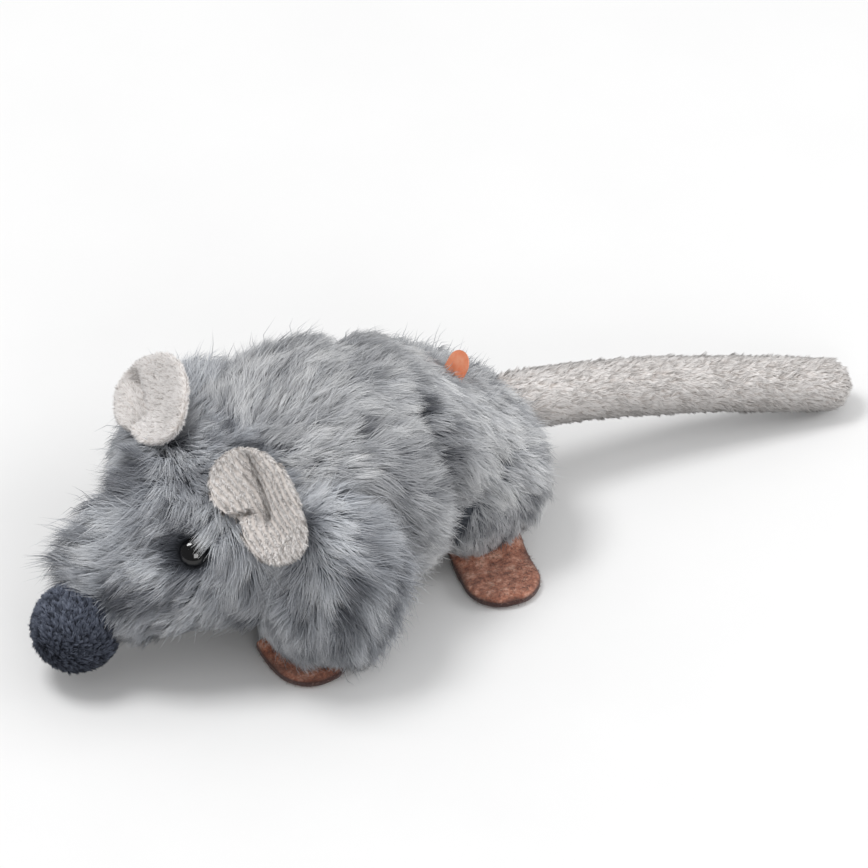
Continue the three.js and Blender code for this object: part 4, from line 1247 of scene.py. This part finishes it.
def comb_rows(local, way, pull):
    """Moves roots sideways towards the nearest row's middle line, so that furrows open between the rows,
    and says how far each root was from it. The rim is left as it is."""
    aside = np.array((-way[1], way[0], 0))
    place = local @ aside + ROW_SWAY * np.sin(local @ way / ROW_SWAY_LENGTH)
    shift = np.round(place / ROW_SPACING) * ROW_SPACING - place
    inner = 1 - np.clip(np.linalg.norm(local[:, :2], axis=1) / EAR_RADIUS, 0, 1) ** 8
    return local + aside * (shift * pull * inner)[:, None], np.abs(shift) / ROW_SPACING * 2


def ear_fur(side, rows, faces_up, density, draw):
    """The tufts of one layer in the ear's own axes, on the side that shows: along the rows, and outwards
    at the rim. They are painted darker in the furrows and folds: painted shade."""
    local, normals = scatter(rows, density, draw)
    shown = normals[:, 2] * faces_up > BEHIND
    local, normals = local[shown], normals[shown]
    way = np.array((0.67, side * 0.74, 0.0))
    local, furrow = comb_rows(local, way, ROW_PULL[side])
    rim = np.linalg.norm(local[:, :2], axis=1) / EAR_RADIUS
    direction = way + RIM_SPLAY * rim[:, None] * unit(local * (1, 1, 0))
    paths, tuft_of = hair_paths(local, normals, direction, length=1.15, lift=0.5, steps=1, draw=draw,
                                clump=0.3, spread=0.2)
    patches = 0.12 * mottle(local, 5, draw) - FURROW_PAINTED_SHADE * ROW_PULL[side] * furrow ** 2.5
    patches = patches - FOLD_PAINTED_SHADE * fold_depth(side, local[:, 0], local[:, 1])
    shade = pile_shade(0.6, patches, by_tuft=0.1, by_hair=0.12, tuft_of=tuft_of, draw=draw)
    return spikes(paths, TUFT_RADIUS, shade, normals, floor=-EAR_RADIUS)


# %% Sew the ears
EAR_LAYERS = {
    # layer: lower face, upper face, the side that shows, seed
    "lining": (LAYER_GAP, EAR_CLOTH, 1, 300),
    "back": (-EAR_CLOTH, -LAYER_GAP, -1, 310),
}
for side, label in SIDES:
    axes, centre = ear_axes(side), EAR_CENTRE * (1, side, 1)
    for layer, (low, high, faces_up, seed) in EAR_LAYERS.items():
        rows = ear_layer(side, low, high, 65, 120)
        piece = make_piece(f"ear_{layer}_skin_{label}", *close_form(rows @ axes + centre), ear_cloth,
                           f"ear_{label}", "short_pile_plush")
        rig.replaces(piece, f"ear_{layer}_{label}")
        draw = np.random.default_rng(seed + side)
        points, faces, uv, facing = ear_fur(side, rows, faces_up, EAR_TUFTS[layer], draw)
        make_piece(f"ear_{layer}_pile_{label}", points @ axes + centre, faces, ear_pile, f"ear_{label}",
                   "short_pile_plush", uv, facing @ axes)
        print("ear", layer, label, len(points), "points")

# %% [markdown]
# ## Tail
#
# The tail is a sleeve of the same short velour, stuffed and sewn into the rump. It is a tube carried
# along a gentle curve, a little thinner towards its rounded tip, and its root is round, so that it can
# turn in its seam.

# %% Tail
TAIL_REACH, TAIL_SIDEWAYS, TAIL_TIP_HEIGHT = 65.7, 18.8, 6.3
TAIL_BENDS = np.array((0, 0.2, 0.58, 1))
TAIL_TUFTS, TAIL_TUFT_RADIUS = 15, 0.14
TAIL_ROOT, TAIL_THINS = 5.7, 0.6
TAIL_WAVE, TAIL_WAVES = 0.012, 17
END_RINGS, BARE_ROOT = 11, 1


def tail_line(share):
    """A cubic curve through four knots, weighted by the four products of share and 1 - share, and its
    direction."""
    knots = np.stack([
        TAIL_SEAM[0] + TAIL_REACH * np.arange(4) / 3, -TAIL_SIDEWAYS * TAIL_BENDS,
        TAIL_SEAM[2] - (TAIL_SEAM[2] - TAIL_TIP_HEIGHT) * TAIL_BENDS,
    ], -1)
    s, r = share[:, None], 1 - share[:, None]
    place = r ** 3 * knots[0] + 3 * r ** 2 * s * knots[1] + 3 * r * s ** 2 * knots[2] + s ** 3 * knots[3]
    steps = np.diff(knots, axis=0)
    return place, unit(r ** 2 * steps[0] + 2 * r * s * steps[1] + s ** 2 * steps[2])


def tail_form(rings, sides):
    """Rings square to the line. Past either end the ring follows a half ball, and between them the radius
    falls slowly from root to tip, with faint waves where the stuffing is uneven."""
    turn = np.linspace(0, np.pi / 2, END_RINGS + 1)
    shaft = np.linspace(0, 1, rings)
    share = np.concatenate([np.zeros(END_RINGS), shaft, np.ones(END_RINGS)])
    radius = TAIL_ROOT - TAIL_THINS * share ** 1.6
    radius = radius * (1 + TAIL_WAVE * np.sin(share * TAIL_WAVES))
    shift = np.concatenate([-np.cos(turn[:-1]), np.zeros(rings), np.sin(turn[1:])]) * radius
    ring = np.concatenate([np.sin(turn[:-1]), np.ones(rings), np.cos(turn[1:])]) * radius
    place, ahead = tail_line(share)
    across = unit(np.cross((0, 0, 1), ahead))
    up = np.cross(ahead, across)
    angle = np.linspace(0, 2 * np.pi, sides, endpoint=False)[None, :, None]
    round_ring = across[:, None] * np.cos(angle) + up[:, None] * np.sin(angle)
    return (place + ahead * shift[:, None])[:, None] + round_ring * ring[:, None, None]


# %% Sew on the tail
tail_rows = tail_form(90, 48)
tail = make_piece("tail_skin", *close_form(tail_rows), ear_cloth, "tail", "short_pile_plush")
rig.replaces(tail, "tail_cover", "tail_stuffing")
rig.padded(tail, fill=0.9)
draw = np.random.default_rng(401)
roots, normals = scatter(tail_rows, TAIL_TUFTS, draw)
keep = roots[:, 0] > TAIL_SEAM[0] - BARE_ROOT
roots, normals = roots[keep], normals[keep]
ahead = tail_line(np.clip((roots[:, 0] - TAIL_SEAM[0]) / TAIL_REACH, 0, 1))[1]
paths, tuft_of = hair_paths(roots, normals, ahead, length=2.0, lift=0.4, steps=1, draw=draw, clump=0.5,
                            spread=0.1)
patches = 0.1 * mottle(roots, 6, draw)
shade = pile_shade(0.38, patches, by_tuft=0.1, by_hair=0.12, tuft_of=tuft_of, draw=draw)
points, faces, uv, facing = spikes(paths, TAIL_TUFT_RADIUS, shade, normals)
make_piece("tail_pile", points, faces, ear_pile, "tail", "short_pile_plush", uv, facing)
print("tail tufts:", len(roots))

# %% [markdown]
# ## Feet
#
# The feet are flat tongues cut from brown needled felt, so their faces are dull and fibrous. Each is a
# flat oval section carried along the tongue, a shade thinner at the rim, and slightly wavy, as felt is. A
# map of how near a point is to the rim paints the cut edge dark, painted shade on its upright side.

# %% Feet
FOOT_WIDTH, FELT = 16, 2.4
FEET = {
    # place along the toy, side, splay in degrees, length
    "front_foot_left": (-29, -1, 0, 16.5), "front_foot_right": (-29, 1, 0, 16.5),
    "rear_foot_left": (20.5, -1, -14, 18.9), "rear_foot_right": (20.5, 1, -14, 18.9),
}
FOOT_ROOT = 16.5
ROOT_RISE, ROOT_BEND, ROOT_ROUND = 2.8, 7.5, 0.8
RIM_POWER, SECTION_POWER = 0.75, 0.45
FELT_WAVE = 0.14
RIM_START, RIM_FADE = 0.8, 0.35

# %% Felt
FIBRES, FIBRE_DEPTH, BLOTS = 0.7, 0.35, 2.2
felt = new_material("needled wool felt, brown", Roughness=0.97, Sheen_Weight=0.3, Sheen_Roughness=0.6,
                    Specular_IOR_Level=0.1)
fibres = noise(felt, FIBRES, detail=6, rough=0.75)
mixed = add_node(felt, "Math", {0: fibres, 1: noise(felt, BLOTS)}, operation="ADD").outputs[0]
mixed = add_node(felt, "Math", {0: mixed, 1: 0.5}, operation="MULTIPLY").outputs[0]
ramp = add_node(felt, "ValToRGB", {"Fac": mixed}, [(0.38, "#794836"), (0.5, "#B4745B"), (0.62, "#DFAE98")])
rim = add_node(felt, "Attribute", attribute_name="rim").outputs["Fac"]
# Towards the upright cut edge the felt is mixed to dark brown: painted shade.
edge = add_node(felt, "Mix", {0: rim, 6: ramp.outputs[0], 7: colour("#4A2F2B")}, data_type="RGBA")
wire(felt, Base_Color=edge.outputs[2], Normal=cloth_bump(felt, fibres, FIBRE_DEPTH))
felt_fuzz = pile_material("stray felt fibres", [(0, "#7A5548"), (1, "#C9A696")], SHADES, Roughness=0.8)
FUZZ, FUZZ_RADIUS, UNDERSIDE = 2.2, 0.045, -0.3
print(felt.name, "with fibres of", FIBRES, "mm and blots of", BLOTS, "mm")


def foot_form(length, rings, sides):
    """Sections across the tongue from root to tip. The half width is full up to the round tip, where it
    follows a circle, the section is a flat superellipse, and both faces wave by a tenth of a millimetre
    or two. The root rises into the leg's seam as a parabola."""
    turn = np.linspace(0, np.pi, rings)
    y = length * (1 - np.cos(turn)) / 2
    tip = np.clip((y - (length - FOOT_WIDTH / 2)) / (FOOT_WIDTH / 2), 0, 1)
    root = np.clip(y / ROOT_ROUND, 0, 1)
    half = FOOT_WIDTH / 2 * np.sqrt(1 - tip ** 2) * (1 - (1 - root) ** 2)
    angle = np.linspace(0, 2 * np.pi, sides, endpoint=False)
    x = half[:, None] * signed_power(np.cos(angle), RIM_POWER)
    thin = (np.sqrt(1 - tip ** 6) * (1 - (1 - root) ** 2))[:, None]
    z = FELT / 2 + FELT / 2 * thin * signed_power(np.sin(angle), SECTION_POWER)
    z = z + np.where(np.sin(angle) > 0, FELT_WAVE, 0.0) * np.sin(0.9 * x + 1.3) * np.cos(0.5 * y[:, None])
    z = z + ROOT_RISE * np.clip(1 - y / ROOT_BEND, 0, 1)[:, None] ** 2
    return np.stack([x, np.broadcast_to(y[:, None], x.shape), np.maximum(z, 0.03)], -1)


# %% Sew on the feet
for number, (name, (x, side, splay, length)) in enumerate(FEET.items()):
    foot_rows = foot_form(length, 61, 72)
    turn = math.radians(180 + splay if side < 0 else -splay)
    spin = np.array([[math.cos(turn), math.sin(turn), 0], [-math.sin(turn), math.cos(turn), 0], [0, 0, 1]])
    place = np.array((x, side * FOOT_ROOT, 0))
    points, faces = close_form(foot_rows)
    piece = make_piece(f"{name}_felt", points @ spin + place, faces, felt, name, "felt")
    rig.replaces(piece, name)
    middle = FELT / 2 + ROOT_RISE * np.clip(1 - points[:, 1] / ROOT_BEND, 0, 1) ** 2
    to_rim = np.abs(points[:, 2] - middle) / (FELT / 2)
    # How near the middle of the cut edge a point lies sets its painted shade.
    rim_painted_shade = piece.data.attributes.new("rim", "FLOAT", "POINT")
    rim_painted_shade.data.foreach_set("value", np.clip((RIM_START - to_rim) / RIM_FADE, 0, 1).astype(np.float32))
    draw = np.random.default_rng(500 + number)
    roots, normals = scatter(foot_rows, FUZZ, draw)
    shown = normals[:, 2] > UNDERSIDE
    roots, normals = roots[shown], normals[shown]
    direction = draw.normal(0, 1, roots.shape)
    paths, _ = hair_paths(roots, normals, direction, length=1.0, lift=0.3, steps=2, draw=draw, clump=0,
                          spread=0.1, wave=0.2)
    shade = np.clip(draw.normal(0.5, 0.2, len(roots)), *SHADE_RANGE)
    points, faces, uv, facing = spikes(paths, FUZZ_RADIUS, shade, normals)
    make_piece(f"{name}_fuzz", points @ spin + place, faces, felt_fuzz, name, "felt", uv, facing @ spin)
print("feet:", list(FEET))

# %% [markdown]
# ## Eyes
#
# The eyes are moulded black beads, polished smooth, whose stems are held inside by washers. A turned
# profile gives a rounder dome than the frame's few facets, and a clear hard gloss gives its spot of
# light.

# %% Eyes
EYE_LOOK = np.array((-0.45, 0.6, 0.66))
EYE_RADIUS, EYE_DOME, STEM_RADIUS, STEM_LENGTH = 3.0, 1.7, 1.2, 6.0
BEAD_EDGE, BEAD_UNDER = 0.15, -0.2
bead = new_material("moulded acrylic, polished black", Roughness=0.06, IOR=1.6,
                    Coat_Weight=1.0, Coat_Roughness=0.04)
ramp = add_node(bead, "ValToRGB", {"Fac": noise(bead, 6, detail=1)}, [(0.3, "#060607"), (0.8, "#101014")])
wire(bead, Base_Color=ramp.outputs["Color"])


def bead_form(sides):
    """A stem, a flat underside and a quarter ellipse over it, turned round the bead's own axis."""
    turn = np.linspace(0, np.pi / 2, 24)
    stem = [0, STEM_RADIUS, STEM_RADIUS, EYE_RADIUS - BEAD_EDGE]
    radius = np.concatenate([stem, EYE_RADIUS * np.cos(turn)])
    height = np.concatenate([[-STEM_LENGTH, -STEM_LENGTH, BEAD_UNDER, BEAD_UNDER], EYE_DOME * np.sin(turn)])
    angle = np.linspace(0, 2 * np.pi, sides, endpoint=False)[None]
    x, y = radius[:, None] * np.cos(angle), radius[:, None] * np.sin(angle)
    return np.stack([x, y, np.broadcast_to(height[:, None], x.shape)], -1)


for side, label in SIDES:
    out = unit(EYE_LOOK * (1, side, 1))
    first = unit(np.cross((0, 0, 1), out))
    axes = np.stack([first, np.cross(out, first), out])
    eye = make_piece(f"eye_bead_{label}", *close_form(bead_form(48) @ axes + EYE * (1, side, 1)), bead,
                     slot="eye_bead")
    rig.replaces(eye, f"eye_{label}")
print("eyes at", EYE, "and mirrored")

# %% [markdown]
# ## Catnip sachet
#
# Inside the body lies a small cotton bag of dried catnip. It is a pillow whose section follows the same
# kind of profile as the body, in a plain weave of 0.4 mm threads.

# %% Sachet
SACHET = {**BODY, "front": -33.5, "length": 19, "width": 16, "height": 10, "base": 12}
THREAD, THREAD_DEPTH = 0.4, 0.1
cotton = new_material("plain woven cotton, unbleached", Roughness=0.92, Specular_IOR_Level=0.15)
threads = {"Vector": object_place(cotton), "Scale": 1 / (THREAD * MILLIMETRE), "Distortion": 0.4}
warp, weft = (add_node(cotton, "TexWave", threads, bands_direction=way).outputs["Fac"] for way in "XY")
crossing = add_node(cotton, "Math", {0: warp, 1: weft}, operation="MULTIPLY").outputs[0]
ramp = add_node(cotton, "ValToRGB", {"Fac": crossing}, [(0, "#B9B098"), (1, "#E4DDC8")])
wire(cotton, Base_Color=ramp.outputs["Color"], Normal=cloth_bump(cotton, crossing, THREAD_DEPTH))
sachet = make_piece("catnip_bag", *close_form(stuffed_form(SACHET, 33, 40)), cotton, slot="sachet_cloth")
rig.replaces(sachet, "catnip_sachet")
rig.padded(sachet, fill=0.5)
print(sachet.name, SACHET["length"], "mm long")

# %% [markdown]
# ## Pull tab
#
# The orange tab is a strip of clear polyester film, dyed, that keeps the cells apart until it is pulled.
# Film lets light through and shines at its cut edge, so it transmits part of the light and is smooth.

# %% Pull tab
FILM_CLOUDS, FILM_RIPPLE = 2.5, 0.05
film = new_material("polyester film, orange", Roughness=0.28, IOR=1.57, Transmission_Weight=0.35)
cloud = noise(film, FILM_CLOUDS)
ramp = add_node(film, "ValToRGB", {"Fac": cloud}, [(0.25, "#F08252"), (0.75, "#FFBC98")])
wire(film, Base_Color=ramp.outputs["Color"], Normal=cloth_bump(film, cloud, FILM_RIPPLE))
print(film.name)

# %% [markdown]
# ## Finishes inside
#
# The module and its cells stay the frame's own solids, so each only needs its finish. All are one kind of
# recipe: two close colours over a grain of the finish's own size, and a roughness that follows the same
# grain. Only the numbers differ, so a table holds them.

# %% Inner finishes
INNER = {
    # slot: name, two colours, metallic, roughness low and high, IOR, grain in mm, relief in mm
    # milky and waxy
    "washer_plastic": ("moulded polypropylene, natural", "#DADAD2", "#EFEFEA", 0, 0.4, 0.55, 1.49, 1.2, 0.01),
    # a fine even sparkle, off-white
    "case_plastic": (
        "moulded ABS, ivory, fine spark texture", "#E9E6DC", "#F4F2EB", 0, 0.4, 0.55, 1.54, 0.5, 0.02,
    ),
    # glassy green over a woven ground
    "board": ("glass epoxy board, green solder mask", "#23582F", "#357A45", 0, 0.3, 0.5, 1.55, 1.5, 0.02),
    # warm metal with rolling lines
    "contact_brass": ("stamped brass, rolled", "#B8924C", "#D2AF68", 1, 0.25, 0.42, 1.5, 0.8, 0.01),
    # cool bright metal, a little streaked
    "cell_steel": ("nickel-plated steel, brushed", "#B2B4B8", "#CFD1D3", 1, 0.2, 0.36, 1.5, 0.6, 0.01),
    # chalky, fired
    "ceramic": ("sintered piezo ceramic", "#DDD6C2", "#F0EBDD", 0, 0.5, 0.7, 1.6, 0.4, 0.01),
    # a poured black drop, half gloss
    "chip_resin": ("potting epoxy, black", "#101013", "#1E1E23", 0, 0.35, 0.5, 1.55, 0.9, 0.02),
    # a white loose tangle, no shine
    "stuffing": ("polyester fibre, white", "#DAD7D0", "#F4F2EE", 0, 0.85, 0.95, 1.5, 1.5, 0.4),
}
finishes = {"tab_film": film}
for slot_name, (name, dark, light, metallic, smooth, rough, index, grain, relief) in INNER.items():
    material = new_material(name, Metallic=float(metallic), IOR=index)
    pattern = noise(material, grain, detail=4)
    ramp = add_node(material, "ValToRGB", {"Fac": pattern}, [(0.3, dark), (0.7, light)])
    worn = add_node(material, "MapRange", {"Value": pattern, "To Min": smooth, "To Max": rough})
    wire(material, Base_Color=ramp.outputs["Color"], Roughness=worn.outputs["Result"],
         Normal=cloth_bump(material, pattern, relief))
    finishes[slot_name] = material
print("finishes:", list(finishes))

# %% Carry the finishes to the nodes
covered = {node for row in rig.table()["pieces"] for node in row.get("replaces", [])}
bare = []
for row in frame["record"]["subparts"]:
    node_name, slot_name = row["node"], row["material_slot"]
    if node_name in covered:
        continue
    if slot_name not in finishes:
        bare.append(node_name)
        continue
    mesh = frame["nodes"][node_name].data
    mesh.materials.clear()
    mesh.materials.append(finishes[slot_name])
print("nodes without a new finish:", bare)

# %% [markdown]
# ## Both sizes
#
# The fur may stand a little proud of the solids, but the toy keeps its size, so both boxes are written
# down.

# %% Finish
new_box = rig.bounds()
with open("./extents.json", "w") as size_file:
    json.dump([[list(corner) for corner in box] for box in (cad_box, new_box)], size_file)
print("visual box in metres:", [[round(value, 4) for value in corner] for corner in new_box])
